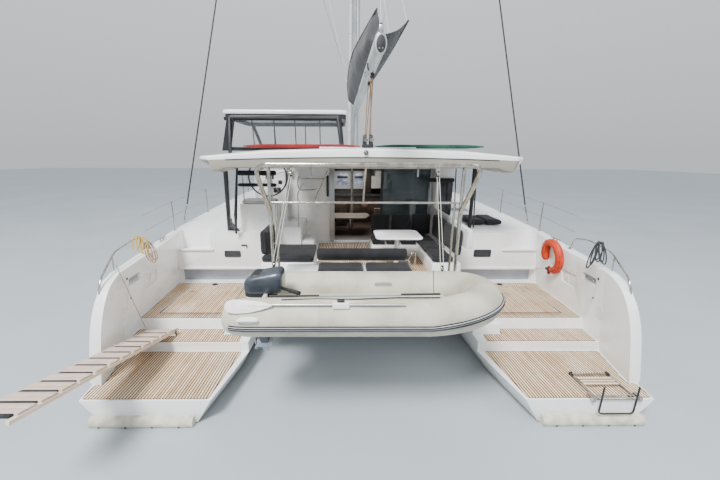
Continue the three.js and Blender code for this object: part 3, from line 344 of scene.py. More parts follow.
# Soft foam vinyl of the transom fenders, cream and scuffed
FENDER = mottled("foam-filled vinyl", "#b3b09f", "#d2cfc0", 0.12, 0.004, (0.5, 0.7), 0.0008, 0.4)
COWL = mottled("painted aluminium cowling", "#262c35", "#36404c", 0.15, 0.003, (0.28, 0.4), 0.0003, 0.2,
               Coat_Weight=0.5, Coat_Roughness=0.15)
# White coated vinyl of the helm seat, the oar blade and the moulded handles
WHITE_VINYL = mottled("white seat vinyl", "#e0dfda", "#efeeea", 0.1, 0.004, (0.5, 0.65), 0.0006, 0.4)
ORANGE = mottled("coated orange foam", "#b02c08", "#d6430f", 0.1, 0.004, (0.5, 0.62), 0.0008, 0.4)
RED_CLOTH = woven("red woven polyester", "#640609", "#960f12", 0.005, 0.05)
GREEN_CLOTH = woven("green woven polyester", "#063326", "#0f5641", 0.005, 0.05)
TEAK = planked_teak("caulked teak deck", 0.040, 0.0160, [
    (0.2, "#b28a64"), (0.45, "#d8b38c"), (0.7, "#efd5b5"), (0.95, "#fae9d3")],
    toe_in=math.radians(1.5), seam="#160e08")
TEAK_BOARD = planked_teak("teak margin board", 5.0, 0.0, [
    (0.2, "#b08b6c"), (0.45, "#d2b494"), (0.7, "#e6d0b6"), (0.95, "#f2e3cf")])
GANGWAY_TEAK = planked_teak("weathered gangway teak", 9.0, 0.0, [
    (0.2, "#9c8473"), (0.45, "#c6af9f"), (0.7, "#ddccbf"), (0.95, "#ece0d6")], run="X")
WHITE_ROPE = laid_rope("white braided rope", "#b9b7ae", "#e6e4dc")
BLACK_ROPE = laid_rope("black braided rope", "#0f1012", "#2c2d31")
TAN_ROPE = laid_rope("tan braided rope", "#6b4f34", "#b59060")
YELLOW_ROPE = laid_rope("yellow braided rope", "#a98422", "#dcbc53")
# Wood veneer of the saloon, a dark satin oak, its pale lining, laminate and leather, and a grey-green panel
# of painted reflection seen through the door glass
VENEER = mottled("oiled oak veneer", "#2a1f18", "#463529", 0.2, 0.01, (0.4, 0.55), 0.0004, 0.2)
LINING = mottled("cabin lining vinyl", "#c9c4ba", "#dad6cd", 0.3, 0.006, (0.6, 0.75), 0.0006, 0.3)
TAUPE = mottled("taupe laminate", "#675e54", "#7f7467", 0.2, 0.01, (0.4, 0.55), 0.0003, 0.2)
LEATHER = mottled("brown settee leather", "#5e4a3c", "#7d6552", 0.1, 0.006, (0.45, 0.6), 0.0006, 0.4)
PAINTED_REFLECTION = mottled("painted grey-green reflection", "#6c7a79", "#86928f", 0.4, 0.02, (0.3, 0.4), 0.0002, 0.1)
NET = netting_cord()
SAILCLOTH = panelled_sail()


def painted_daylight_panes():
    """The forward windows seen from the dim saloon: a painted daylight glow with lighter and darker patches
    of painted light.
    """
    material, tree, shader, place = new_material(
        "front panes with painted daylight glow", Roughness=0.1, Emission_Color=srgb("#7d84a4"), Emission_Strength=0.4)
    patches = noise(tree, place, 7.0, 3.0)
    finish_surface(tree, shader, ramp(tree, patches, (0.4, "#8f98ad"), (0.55, "#e4e9ee")))
    return material


PAINTED_DAYLIGHT = painted_daylight_panes()

SLOT_FINISH = {
    "gelcoat": GELCOAT, "antifouling": ANTIFOULING, "grey_gelcoat": GREY_GELCOAT, "bronze": BRONZE,
    "glass": SMOKED, "black_trim": POWDER, "cushion": CHARCOAL, "steel": STAINLESS,
    "inflatable": HYPALON, "fender": FENDER, "cowling": COWL, "aluminium": ALUMINIUM, "netting": NET,
    "sailcloth": SAILCLOTH, "canvas": SAIL_COVER, "teak": GANGWAY_TEAK, "orange_foam": ORANGE,
}
NODE_FINISH = {"engine_hatch_port": TEAK, "engine_hatch_starboard": TEAK,
               "aft_pane": DOOR_GLASS, "sliding_door": DOOR_GLASS, "roof": ROOF_GELCOAT_WITH_SHADE}
slot_of = {part["node"]: part["material_slot"] for part in frame["record"]["subparts"]}
for node_name, node_object in frame["nodes"].items():
    node_object.data.materials.clear()
    node_object.data.materials.append(NODE_FINISH.get(node_name, SLOT_FINISH[slot_of[node_name]]))

# Camera: a wide lens on the quay astern, 3.4 m over the water, turned a little to starboard
CAMERA_PLACE = Vector((-0.35, -10.367, 3.40))
FOCAL, SENSOR, SHIFT = 16.0, 36.0, 15 / 720
PITCH, YAW, ROLL = math.atan(84 / 320), math.radians(0.56), math.radians(0.21)
lens = bpy.data.cameras.new("quay_camera")
lens.sensor_width, lens.lens, lens.shift_x = SENSOR, FOCAL, SHIFT
camera = bpy.data.objects.new("quay_camera", lens)
bpy.context.collection.objects.link(camera)
facing = Matrix.Rotation(-YAW, 4, "Z") @ Matrix.Rotation(math.pi / 2 - PITCH, 4, "X")
camera.matrix_world = Matrix.Translation(CAMERA_PLACE) @ facing @ Matrix.Rotation(ROLL, 4, "Z")
bpy.context.scene.camera = camera


def deselect():
    bpy.ops.object.select_all(action="DESELECT")


def pick(piece):
    deselect()
    bpy.context.view_layer.objects.active = piece
    piece.select_set(True)
    return piece


def settle(piece, name, finish, body="boat", slot=None, stands_for=()):
    """Names a piece, gives it its finish, and hands it to its body."""
    piece.name = piece.data.name = name
    piece.data.materials.clear()
    piece.data.materials.append(finish)
    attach(piece, body)
    if stands_for:
        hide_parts(*stands_for)
    return piece


def smooth(piece, angle=35):
    pick(piece)
    bpy.ops.object.shade_smooth_by_angle(angle=math.radians(angle))
    return piece


def in_edit_mode(piece, *steps):
    """Runs mesh operators on the whole of a piece; a step is an operator with its settings."""
    pick(piece)
    bpy.ops.object.mode_set(mode="EDIT")
    bpy.ops.mesh.select_all(action="SELECT")
    for operator, settings in steps:
        operator(**settings)
    bpy.ops.object.mode_set(mode="OBJECT")
    return piece


def modify(piece, kind, **settings):
    """Adds a modifier to a piece and applies it."""
    pick(piece)
    bpy.ops.object.modifier_add(type=kind)
    modifier = piece.modifiers[-1]
    for name, value in settings.items():
        setattr(modifier, name, value)
    bpy.ops.object.modifier_apply(modifier=modifier.name)
    return piece


def pulled(shift):
    """The step that pulls faces out by a shift."""
    return bpy.ops.mesh.extrude_region_move, {"TRANSFORM_OT_translate": {"value": shift}}


# Distances under which points are one, in a made mesh and in a solid's, and the angle that is still flat
WELD, SOLID_WELD, FLAT = 1e-5, 1e-4, math.radians(0.3)


def outward(piece):
    """Merges doubles and turns the faces outwards."""
    return in_edit_mode(piece, (bpy.ops.mesh.remove_doubles, {"threshold": WELD}),
                        (bpy.ops.mesh.normals_make_consistent, {"inside": False}))


def soften(piece, width, segments=2, angle=30):
    """Rounds a piece's sharp edges."""
    return modify(piece, "BEVEL", width=width, segments=segments, limit_method="ANGLE",
                  angle_limit=math.radians(angle))


def round_turn(count, start=0):
    """Cosine and sine of equal steps round a circle, from a start in degrees."""
    for k in range(count):
        angle = math.radians(start + 360 * k / count)
        yield math.cos(angle), math.sin(angle)


def rounded_corners(corners, radius, steps=4):
    """Corner points with each corner turned into a short curve; open or closed by how it is used."""
    path = [Vector(corners[0])]
    for before, corner, after in zip(corners, corners[1:], corners[2:]):
        before, corner, after = Vector(before), Vector(corner), Vector(after)
        reach = min(radius, (corner - before).length / 2, (after - corner).length / 2)
        start = corner + (before - corner).normalized() * reach
        end = corner + (after - corner).normalized() * reach
        for i in range(steps + 1):
            t = i / steps
            path.append(start.lerp(corner, t).lerp(corner.lerp(end, t), t))
    path.append(Vector(corners[-1]))
    return path


def rounded_outline(corners, radius, steps=3):
    """A closed outline with its corners rounded."""
    ring = [Vector(c) for c in corners]
    start = (ring[0] + ring[-1]) / 2
    path = rounded_corners([start, *ring, start], radius, steps)
    return path[:-1]


def rectangle(x0, x1, s0, s1, z):
    return [at(x0, s0, z), at(x1, s0, z), at(x1, s1, z), at(x0, s1, z)]


def upright(x0, x1, s, z0, z1):
    return [at(x0, s, z0), at(x1, s, z0), at(x1, s, z1), at(x0, s, z1)]


def plate(name, outline, lift, finish, body="boat", edge=0.0, segments=2, **said):
    """A flat outline pulled out to a thickness, its edges softened."""
    deselect()
    bpy.ops.mesh.primitive_circle_add(vertices=len(outline), fill_type="NGON", location=(0, 0, 0))
    piece = bpy.context.object
    for vertex, corner in zip(piece.data.vertices, outline):
        vertex.co = corner
    outward(in_edit_mode(piece, pulled(Vector(lift))))
    if edge:
        soften(piece, edge, segments)
    smooth(piece)
    return settle(piece, name, finish, body, **said)


def block(low, high):
    """A plain block between two corners."""
    low, high = Vector(low), Vector(high)
    deselect()
    bpy.ops.mesh.primitive_cube_add(size=1, location=(low + high) / 2)
    piece = bpy.context.object
    piece.scale = high - low
    bpy.ops.object.transform_apply(location=True, rotation=True, scale=True)
    return piece


def cube(name, low, high, finish, body="boat", edge=0.005, segments=2, **said):
    """A block with its edges rounded by bevel."""
    piece = smooth(soften(block(low, high), edge, segments))
    return settle(piece, name, finish, body, **said)


def tube(name, points, radius, finish, body="boat", corner=0.0, closed=False, detail=2, widths=None,
         **said):
    """A round tube along a route, its ends closed."""
    route = rounded_corners(points, corner) if corner else [Vector(p) for p in points]
    curve = bpy.data.curves.new(name, "CURVE")
    curve.dimensions = "3D"
    curve.bevel_depth = radius
    curve.bevel_resolution = detail
    curve.use_fill_caps = True
    spline = curve.splines.new("POLY")
    spline.points.add(len(route) - 1)
    spline.use_cyclic_u = closed
    for i, place in enumerate(route):
        spline.points[i].co = (*place, 1.0)
        if widths:
            spline.points[i].radius = widths[i]
    piece = bpy.data.objects.new(name, curve)
    bpy.context.collection.objects.link(piece)
    pick(piece)
    bpy.ops.object.convert(target="MESH")
    piece = bpy.context.object
    outward(piece)
    smooth(piece, 60)
    return settle(piece, name, finish, body, **said)


def turned(name, profile, place, axis, finish, body="boat", sides=24, angle=35, **said):
    """A turned piece: a disc pulled up along its axis and resized ring by ring; profile is radius, rise."""
    (radius, rise), *rest = profile
    deselect()
    bpy.ops.mesh.primitive_circle_add(vertices=sides, radius=radius, fill_type="NGON", location=(0, 0, rise))
    piece = bpy.context.object
    bpy.ops.object.transform_apply(location=True)
    steps = []
    for next_radius, next_rise in rest:
        share = next_radius / radius
        sizing = {"value": (share, share, 1), "center_override": (0, 0, next_rise)}
        steps += [pulled((0, 0, next_rise - rise)), (bpy.ops.transform.resize, sizing)]
        radius, rise = next_radius, next_rise
    outward(in_edit_mode(piece, *steps))
    facing = Vector(axis).to_track_quat("Z", "Y").to_matrix().to_4x4()
    piece.data.transform(Matrix.Translation(place) @ facing)
    smooth(piece, angle)
    return settle(piece, name, finish, body, **said)


def merged_copy(node):
    """A copy of a solid's mesh with its loose triangles joined into clean faces."""
    copy = bpy.data.objects.new(node + "_copy", frame["nodes"][node].data.copy())
    bpy.context.collection.objects.link(copy)
    return in_edit_mode(copy, (bpy.ops.mesh.remove_doubles, {"threshold": SOLID_WELD}),
                        (bpy.ops.mesh.dissolve_limited, {"angle_limit": FLAT}))


def carve(piece, *cutters):
    """Cuts other pieces out of a piece and removes them."""
    for cutter in cutters:
        modify(piece, "BOOLEAN", operation="DIFFERENCE", solver="EXACT", object=cutter)
        bpy.data.objects.remove(cutter)
    return piece


# Hull shells: the solid's form with moulded recesses in the bulwarks and rounded edges
def bulwark_frame(side, s, z):
    """A point on the leaning bulwark face with its axes: along the boat, up the face, out of it."""
    here, ahead, above = (at(side * face(a, b), a, b) for a, b in ((s, z), (s + 0.1, z), (s, z + 0.1)))
    run, rise = (ahead - here).normalized(), (above - here).normalized()
    out = run.cross(rise).normalized() * -side
    return here, run, rise, -out if out.x * side > 0 else out


def on_bulwark(axes, half_run, half_rise, off, shift=0.0):
    """A rectangle's corners on a bulwark's axes, set off from its face."""
    here, run, rise, out = axes
    return [here + run * (shift + a * half_run) + rise * b * half_rise + out * off
            for a, b in ((-1, -1), (1, -1), (1, 1), (-1, 1))]


def bulwark_pocket(side, s, z, length, height, depth):
    """A cutter for a shallow recess with rounded corners in the bulwark face."""
    axes = bulwark_frame(side, s, z)
    corners = on_bulwark(axes, length / 2, height / 2, -depth)
    return plate("pocket", rounded_outline(corners, 0.03), axes[3] * (depth + 0.05), GELCOAT)


# Where the bulwarks' recesses with the grip and with the locker lids are: s, z
GRIP, LOCKER = (1.43, 1.46), (1.96, 1.26)
for side, side_name in SIDES.items():
    shell = carve(merged_copy(f"hull_{side_name}"), bulwark_pocket(side, *GRIP, 0.33, 0.13, 0.035),
                  bulwark_pocket(side, *LOCKER, 0.42, 0.24, 0.02))
    smooth(soften(shell, 0.012, 3, 28), 30)
    settle(shell, f"hull_shell_{side_name}", GELCOAT, slot="gelcoat", stands_for=[f"hull_{side_name}"])

# Teak laid in panels on the platforms and steps
TEAK_THICK, TEAK_MARGIN = 0.0035, 0.025
for side, side_name in SIDES.items():
    def seam(name, outline, rise, radius):
        raised = [p + Vector((0, 0, rise)) for p in outline]
        tube(f"{name}_seam_{side_name}", raised, radius, NYLON, closed=True, detail=1)

    def panel(name, corners, z):
        outline = rounded_outline([at(side * x, s, z) for x, s in corners], 0.03)
        seam(name, outline, TEAK_THICK - 0.001, 0.004)
        return plate(f"{name}_{side_name}", outline, (0, 0, TEAK_THICK), TEAK, edge=0.001, segments=1)

    panel("platform_teak", [
        (2.08, 0.03), (3.70, 0.03), (3.735, 0.27), (face(0.3, PLATFORM) - TEAK_MARGIN, 0.31),
        (face(1.05, PLATFORM) - TEAK_MARGIN, 1.055), (1.96, 1.055)], PLATFORM)
    panel("first_step_teak", [
        (2.00, 1.105), (face(1.1, FIRST_STEP) - TEAK_MARGIN, 1.105),
        (face(1.48, FIRST_STEP) - TEAK_MARGIN, 1.48), (2.34, 1.48), (2.34, 1.30), (2.02, 1.30)], FIRST_STEP)
    upper = panel("upper_step_teak", [
        (1.98, 1.53), (face(1.53, UPPER_STEP) - TEAK_MARGIN, 1.53),
        (face(3.05, UPPER_STEP) - TEAK_MARGIN, 3.07), (1.98, 3.07)], UPPER_STEP)
    lid_space = rounded_outline(rectangle(side * 2.41, side * 3.57, 1.71, 2.90, UPPER_STEP - 0.01), 0.01)
    carve(upper, plate("lid_space", lid_space, (0, 0, 0.03), TEAK))
    seam("lid", lid_space, 0.012, 0.005)

# Tender: a smooth tube with tapered ends, a lined rub strake, taped seams, a handle and its oars
TUBE, NEAR, FAR, TENDER_Z, BOW_LIFT = 0.21, -0.28, 0.80, 1.69, 0.06
TENDER_END, BOW_START, BOW_TIP, CONE = -1.33, 0.60, 1.40, 0.30
# It hangs with its far tube a little low, and its strake climbs towards the bow
FAR_DROP, STRAKE_CLIMB = 0.09, 0.07


def bezier(a, b, c, d, steps):
    for i in range(steps + 1):
        t = i / steps
        yield (a * (1 - t) ** 3 + b * 3 * t * (1 - t) ** 2 + c * 3 * t * t * (1 - t) + d * t ** 3)


def tender_route():
    middle = (NEAR + FAR) / 2
    half = [at(TENDER_END - CONE + step, NEAR, TENDER_Z) for step in (0.0, 0.015, 0.05, 0.10, 0.17, 0.27)]
    half += [at(TENDER_END + 0.3 + 0.15 * i, NEAR, TENDER_Z) for i in range(11)]
    half += bezier(at(BOW_START, NEAR, TENDER_Z), at(BOW_START + 0.45, NEAR, TENDER_Z + 0.02),
                   at(BOW_TIP, NEAR + 0.18, TENDER_Z + BOW_LIFT),
                   at(BOW_TIP, middle, TENDER_Z + BOW_LIFT), 14)
    other = [Vector((p.x, 2 * (middle - HALF_LENGTH) - p.y, p.z)) for p in reversed(half[:-1])]
    route = half + other
    for p in route:
        p.z -= FAR_DROP * ((p.y + HALF_LENGTH - NEAR) / (FAR - NEAR)) ** 1.5
    return route


tender_line = tender_route()
END_TAPER = (0.50, 0.63, 0.77, 0.88, 0.96)
tender_widths = [*END_TAPER] + [1.0] * (len(tender_line) - 2 * len(END_TAPER)) + [*reversed(END_TAPER)]


def beside_tender(drop, stand):
    """A line on the tube's outer skin at a depth under its middle; it climbs towards the bow."""
    moved = []
    for before, here, after, width in zip(tender_line, tender_line[1:], tender_line[2:], tender_widths[1:]):
        run = (after - before).normalized()
        depth = drop - STRAKE_CLIMB * min(1.0, max(0.0, (here.x - BOW_START) / (BOW_TIP - BOW_START)))
        reach = math.sqrt(max(0.0001, (TUBE * width) ** 2 - depth ** 2)) + stand
        moved.append(here + Vector((run.y, -run.x, 0)).normalized() * reach - Vector((0, 0, depth)))
    return moved[2:-2]


tube("tender_tube_skin", tender_line, TUBE, HYPALON, widths=tender_widths, detail=8,
     slot="inflatable", stands_for=["tender_tube"])
STRAKE_DROP, STRAKE = 0.030, 0.032
tube("tender_strake", beside_tender(STRAKE_DROP, -0.012), STRAKE, HYPALON_GREY, detail=4)
STRAKE_LINES = ((-0.027, 0.005), (-0.0095, 0.0175), (0.0095, 0.0175), (0.027, 0.005))
for i, (shift, stand) in enumerate(STRAKE_LINES):
    tube(f"tender_strake_line_{i}", beside_tender(STRAKE_DROP + shift, stand), 0.0062, STRAKE_RUBBER,
         detail=1)


def tube_ring(name, i, radius, finish):
    """A taped seam round the tube, square to its run."""
    run = (tender_line[i + 1] - tender_line[i - 1]).normalized()
    side_way = run.cross(Vector((0, 0, 1))).normalized()
    up = side_way.cross(run)
    ring = [tender_line[i] + (side_way * c + up * s) * TUBE for c, s in round_turn(30)]
    tube(name, ring, radius, finish, closed=True, detail=1)


SEAM_PLACES = (9, 13, 17, 42, 50)
for i, place in enumerate(SEAM_PLACES):
    tube_ring(f"tender_seam_{i}", place, 0.0035, HYPALON)
tube_ring("tender_bow_seam", len(tender_line) - 22, 0.005, RUBBER)


def grab(name, place, out, length):
    """A moulded handle: a pad on the tube and a grip that stands off it."""
    pad = turned(name + "_pad", [(0.036, 0.0), (0.034, 0.012), (0.022, 0.02)], place, out, WHITE_VINYL)
    stretch = Matrix.Diagonal((length / 0.072, 1, 1, 1))
    pad.data.transform(Matrix.Translation(place) @ stretch @ Matrix.Translation(-place))
    low, high = (place + Vector((k * length * 0.42, 0, 0)) for k in (-1, 1))
    stand = Vector(out) * 0.04
    tube(name + "_grip", [low, low + stand, high + stand, high], 0.014, WHITE_VINYL, corner=0.03)


grab("tender_handle_aft", at(-1.32, NEAR - 0.195, 1.757), (0, -0.94, 0.34), 0.24)
patch = [at(0.10, 0.618, 1.68), at(0.33, 0.618, 1.68), at(0.33, 0.605, 1.735), at(0.10, 0.605, 1.735)]
plate("tender_patch", rounded_outline(patch, 0.012), (0, -0.014, 0), HYPALON_GREY)

# Oars along the near tube: a light one in front with its white blade to port, a dark one behind it
OAR_S, OAR_Z = -0.40, 1.895
tube("oar_shaft", [at(-1.20, OAR_S, OAR_Z), at(0.32, OAR_S, OAR_Z)], 0.016, ALUMINIUM)
BLADE = [
    (-1.10, -0.018), (-1.20, -0.050), (-1.32, -0.075), (-1.45, -0.082), (-1.53, -0.070), (-1.565, -0.035),
    (-1.57, 0.0), (-1.55, 0.040), (-1.49, 0.062), (-1.36, 0.060), (-1.20, 0.042), (-1.10, 0.018),
]
plate("oar_blade", [at(x, OAR_S - 0.012 + 0.5 * h, OAR_Z - 0.005 + 0.87 * h) for x, h in BLADE],
      (0, -0.014, 0.008), WHITE_VINYL, edge=0.005)
tube("oar_blade_rib", [at(-1.08, OAR_S - 0.018, OAR_Z), at(-1.45, OAR_S - 0.022, OAR_Z)], 0.014,
     WHITE_VINYL, widths=(1.3, 0.5))
cube("oar_lock", at(-0.45, OAR_S - 0.035, 1.855), at(-0.27, OAR_S + 0.03, 1.925), WHITE_VINYL, edge=0.014,
     segments=3)
cube("oar_lock_pin", at(-0.40, OAR_S - 0.02, 1.925), at(-0.32, OAR_S + 0.02, 1.955), NYLON, edge=0.010,
     segments=3)
tube("second_oar", [at(-1.15, -0.20, 1.90), at(-0.32, -0.19, 1.905), at(0.74, -0.20, 1.925)], 0.013, RUBBER)
tube("second_oar_sleeve", [at(-0.60, -0.195, 1.903), at(0.30, -0.195, 1.915)], 0.017, HYPALON_GREY)
tube("grab_line", [at(-1.0, -0.30, 1.905), at(-0.62, -0.27, 1.900), at(-0.2, -0.29, 1.905),
                   at(0.25, -0.26, 1.91), at(0.72, -0.27, 1.915)], 0.007, BLACK_ROPE)

# Outboard on the tender's transom
MOTOR_S = 0.265


def lump(name, low, high, finish, top=(1, 1), lean=0.0, **said):
    """A rounded casing: a block with its top drawn in and leaned, smoothed by subdivision."""
    piece = in_edit_mode(block(low, high), (bpy.ops.mesh.subdivide, {"number_cuts": 2}),
                         (bpy.ops.mesh.select_all, {"action": "DESELECT"}))
    for vertex in piece.data.vertices:
        vertex.select = vertex.co.z > high.z - 1e-4
    bpy.ops.object.mode_set(mode="EDIT")
    middle = (low + high) / 2
    bpy.ops.transform.resize(value=(*top, 1), center_override=(middle.x, middle.y, high.z))
    bpy.ops.transform.translate(value=(lean, 0, 0))
    bpy.ops.object.mode_set(mode="OBJECT")
    smooth(modify(piece, "SUBSURF", levels=2, render_levels=2), 60)
    return settle(piece, name, finish, **said)


cowl = lump("motor_cowl", at(-1.54, 0.09, 1.77), at(-1.07, 0.44, 2.065), COWL, (0.9, 0.82), 0.02,
            slot="cowling", stands_for=["outboard"])
COWL_LOW, COWL_RISE, COWL_SLOPE = 1.84, 0.22, 0.075
for vertex in cowl.data.vertices:
    climb = max(0.0, (vertex.co.z - COWL_LOW) / COWL_RISE)
    vertex.co.z -= COWL_SLOPE * climb * min(1.0, max(0.0, (-1.09 - vertex.co.x) / 0.42))
for i, (z, grow) in enumerate(((1.875, 0.006), (1.83, 0.002))):
    ring = rectangle(-1.525 - grow, -1.085 + grow, 0.105 - grow, 0.425 + grow, z)
    for corner in ring[1:3]:
        corner.z += 0.01
    tube(f"motor_seam_{i}", rounded_outline(ring, 0.12, 6), 0.005, NYLON, closed=True, detail=1)
lump("motor_vent", at(-1.46, 0.14, 1.95), at(-1.33, 0.39, 2.02), NYLON, (0.9, 0.9), 0.02)
lump("motor_pan", at(-1.54, 0.12, 1.72), at(-1.14, 0.41, 1.85), NYLON, (1.05, 1.05))
lump("motor_leg", at(-1.42, 0.20, 1.04), at(-1.29, 0.33, 1.80), COWL, (1.15, 1.0))
lump("motor_gearcase", at(-1.47, 0.22, 0.98), at(-1.25, 0.31, 1.07), GREY_GELCOAT, (0.8, 0.8))
plate("motor_fin", rounded_outline(rectangle(-1.54, -1.25, 0.18, 0.35, 1.22), 0.05), (0, 0, 0.012), COWL,
      edge=0.004)
plate("motor_skeg", [at(-1.38, 0.26, 1.0), at(-1.30, 0.26, 0.92), at(-1.35, 0.26, 0.90),
                     at(-1.43, 0.26, 0.99)], (0, 0.012, 0), GREY_GELCOAT, edge=0.003)
cube("motor_clamp", at(-1.36, 0.17, 1.70), at(-1.20, 0.36, 1.96), NYLON, edge=0.02, segments=3)
tube("motor_tiller", [at(-1.15, 0.22, 1.83), at(-1.04, 0.12, 1.85), at(-0.90, 0.0, 1.86)], 0.020, NYLON,
     corner=0.08)
tube("motor_grip", [at(-0.97, 0.055, 1.856), at(-0.84, -0.045, 1.865)], 0.026, RUBBER)
PROPELLER_BLADE = ((0.025, -0.02), (0.06, -0.04), (0.085, 0.01), (0.06, 0.035), (0.025, 0.02))
for k, (c, s) in enumerate(round_turn(3, 20)):
    outline = [at(-1.47 + 0.4 * w, MOTOR_S + c * r - s * w, 1.02 + s * r + c * w)
               for r, w in PROPELLER_BLADE]
    plate(f"motor_blade_{k}", outline, (0.008, 0, 0), GREY_GELCOAT, edge=0.002)

# Sail bag: two open flaps on the boom, the starboard one laid outwards
BOOM_FORE, BOOM_AFT = at(0.0, 5.60, 4.70), at(0.10, 0.90, 4.82)


def declare_sheet(piece):
    """Works out the loop triangles of a thin piece of cloth. Says that a thin piece is cloth
    cut to a width and a length; its own area is the cut's.
    """
    piece.data.calc_loop_triangles()
    return piece


def laid_grid(columns, rows, place_of, thickness):
    """A grid whose points have their places by their shares along and across it, given a thickness."""
    deselect()
    bpy.ops.mesh.primitive_grid_add(x_subdivisions=columns, y_subdivisions=rows, size=1, location=(0, 0, 0))
    piece = bpy.context.object
    for vertex in piece.data.vertices:
        vertex.co = place_of(vertex.co.x + 0.5, vertex.co.y + 0.5)
    return modify(piece, "SOLIDIFY", thickness=thickness, offset=0)


FLAP_STEPS, FLAP_WIDTH, BULGE, SAG, FOLD = 24, 0.50, 0.035, 0.02, 0.008


def flap(name, edge, foot_shift, **said):
    """A sheet from the boom's top out to its own free edge, with soft folds along it."""
    def place_of(t, u):
        foot = BOOM_AFT.lerp(BOOM_FORE, t) + Vector((foot_shift, 0, 0))
        rim = edge[min(FLAP_STEPS, round(t * FLAP_STEPS))]
        place = foot.lerp(rim, u)
        bulge = BULGE if rim.x > foot.x else -BULGE
        place.x += math.sin(math.pi * u) * bulge + FOLD * math.sin(26 * t + 5 * u) * u * (1 - u) * 4
        place.z -= math.sin(math.pi * u) * SAG + FOLD * math.sin(17 * t - 3 * u) * u
        return place

    piece = smooth(laid_grid(FLAP_STEPS, 8, place_of, 0.006), 60)
    settle(piece, name, SAIL_COVER, body="boom", **said)
    length = sum((b - a).length for a, b in zip(edge, edge[1:]))
    return declare_sheet(piece)


def smooth_line(points, steps):
    """Points along a smooth curve through the given ones."""
    points = [Vector(p) for p in points]
    ends = [points[0] * 2 - points[1], *points, points[-1] * 2 - points[-2]]
    line_points = []
    for i in range(steps + 1):
        place = i / steps * (len(points) - 1)
        k = min(int(place), len(points) - 2)
        t = place - k
        a, b, c, d = ends[k:k + 4]
        line_points.append(0.5 * ((2 * b) + (c - a) * t + (2 * a - 5 * b + 4 * c - d) * t * t
                                  + (3 * b - 3 * c + d - a) * t ** 3))
    return line_points


BAG_EDGES = {
    PORT: [(0.06, 0.9, 5.09), (-0.10, 2.2, 5.14), (-0.17, 3.0, 5.18), (-0.21, 4.0, 5.18),
           (-0.22, 5.0, 5.09), (-0.20, 5.5, 4.91)],
    STARBOARD: [(0.44, 0.9, 4.97), (0.40, 2.0, 4.95), (0.34, 3.0, 4.93), (0.28, 4.0, 4.93),
                (0.22, 5.0, 4.93), (0.16, 5.5, 4.85)],
}
for side, side_name in SIDES.items():
    bag_edge = smooth_line([at(*place) for place in BAG_EDGES[side]], FLAP_STEPS)
    said = {"slot": "canvas", "stands_for": ["sail_bag"]} if side == PORT else {}
    flap(f"sail_bag_{side_name}", bag_edge, side * 0.05, **said)
    tube(f"sail_bag_{side_name}_hem", bag_edge, 0.012, PIPING, body="boom")

# Standing rigging
HOUNDS, CHAINPLATE = at(0, 5.95, 20.7), (4.05, 3.95, 1.89)
for side, side_name in SIDES.items():
    foot = at(side * CHAINPLATE[0], *CHAINPLATE[1:])
    tube(f"shroud_cover_{side_name}", [foot.lerp(HOUNDS, 0.022), foot.lerp(HOUNDS, 0.93)], 0.016, NYLON,
         detail=1)
    tube(f"turnbuckle_{side_name}", [foot, foot.lerp(HOUNDS, 0.02)], 0.019, STAINLESS)
    for i, z in enumerate((9.6, 15.0)):
        tip = at(side * 1.70, 5.47, z + 0.06)
        top, low = (at(side * 0.08, 5.93, z + 4.4), at(side * 0.08, 5.93, z - 4.6))
        tube(f"diamond_stay_{side_name}_{i}", [low, tip, top], 0.005, STAINLESS, detail=1)

# Lifelines with their stanchions, and the pulpits at the bows
STANCHIONS = (3.3, 5.2, 7.1, 9.0, 10.8, 12.2)
STANCHION_BASE = [(0.035, 0.0), (0.033, 0.008), (0.018, 0.014), (0.017, 0.05)]
STANCHION_HEIGHT, RAIL_INSET = 0.62, 0.07
for side, side_name in SIDES.items():
    def on_rail(s, z):
        return at(side * (line(s, RAIL) - RAIL_INSET), s, line(s, SHEER) + z)

    for i, s in enumerate(STANCHIONS):
        tube(f"stanchion_{side_name}_{i}", [on_rail(s, 0.0), on_rail(s, STANCHION_HEIGHT)], 0.0125,
             STAINLESS)
        turned(f"stanchion_base_{side_name}_{i}", STANCHION_BASE, on_rail(s, -0.002), (0, 0, 1), STAINLESS,
               sides=16)
    for label, z in (("upper", 0.61), ("lower", 0.32)):
        tube(f"lifeline_{side_name}_{label}", [on_rail(s, z) for s in (2.15, *STANCHIONS, 12.75)], 0.004,
             STAINLESS, detail=1)
    bow = [on_rail(12.7, 0.0), on_rail(12.75, 0.60), at(side * 3.02, 13.72, 2.74),
           at(side * 2.84, 13.72, 2.74), at(side * 2.55, 12.85, 2.72), at(side * 2.56, 12.75, 2.12)]
    tube(f"pulpit_{side_name}", bow, 0.0135, STAINLESS, corner=0.12)
    for i, (x, s) in enumerate(((3.00, 13.55), (2.80, 13.50))):
        tube(f"pulpit_leg_{side_name}_{i}", [at(side * x, s, 2.12), at(side * x, s + 0.06, 2.73)], 0.012,
             STAINLESS)

# Clear curtains round the helm, with black borders
CURTAIN_LOW, CURTAIN_HIGH = 3.56, 4.16


def curtain(name, corners):
    """A clear sheet with a black border on each edge; corners run round the sheet."""
    corners = [Vector(c) for c in corners]
    out = (corners[1] - corners[0]).cross(corners[3] - corners[0]).normalized()
    sheet = plate(name, corners, out * 0.002, VINYL)
    declare_sheet(sheet)
    for i, (a, b) in enumerate(zip(corners, corners[1:] + corners[:1])):
        tube(f"{name}_border_{i}", [a, b], 0.012, NYLON, detail=1)


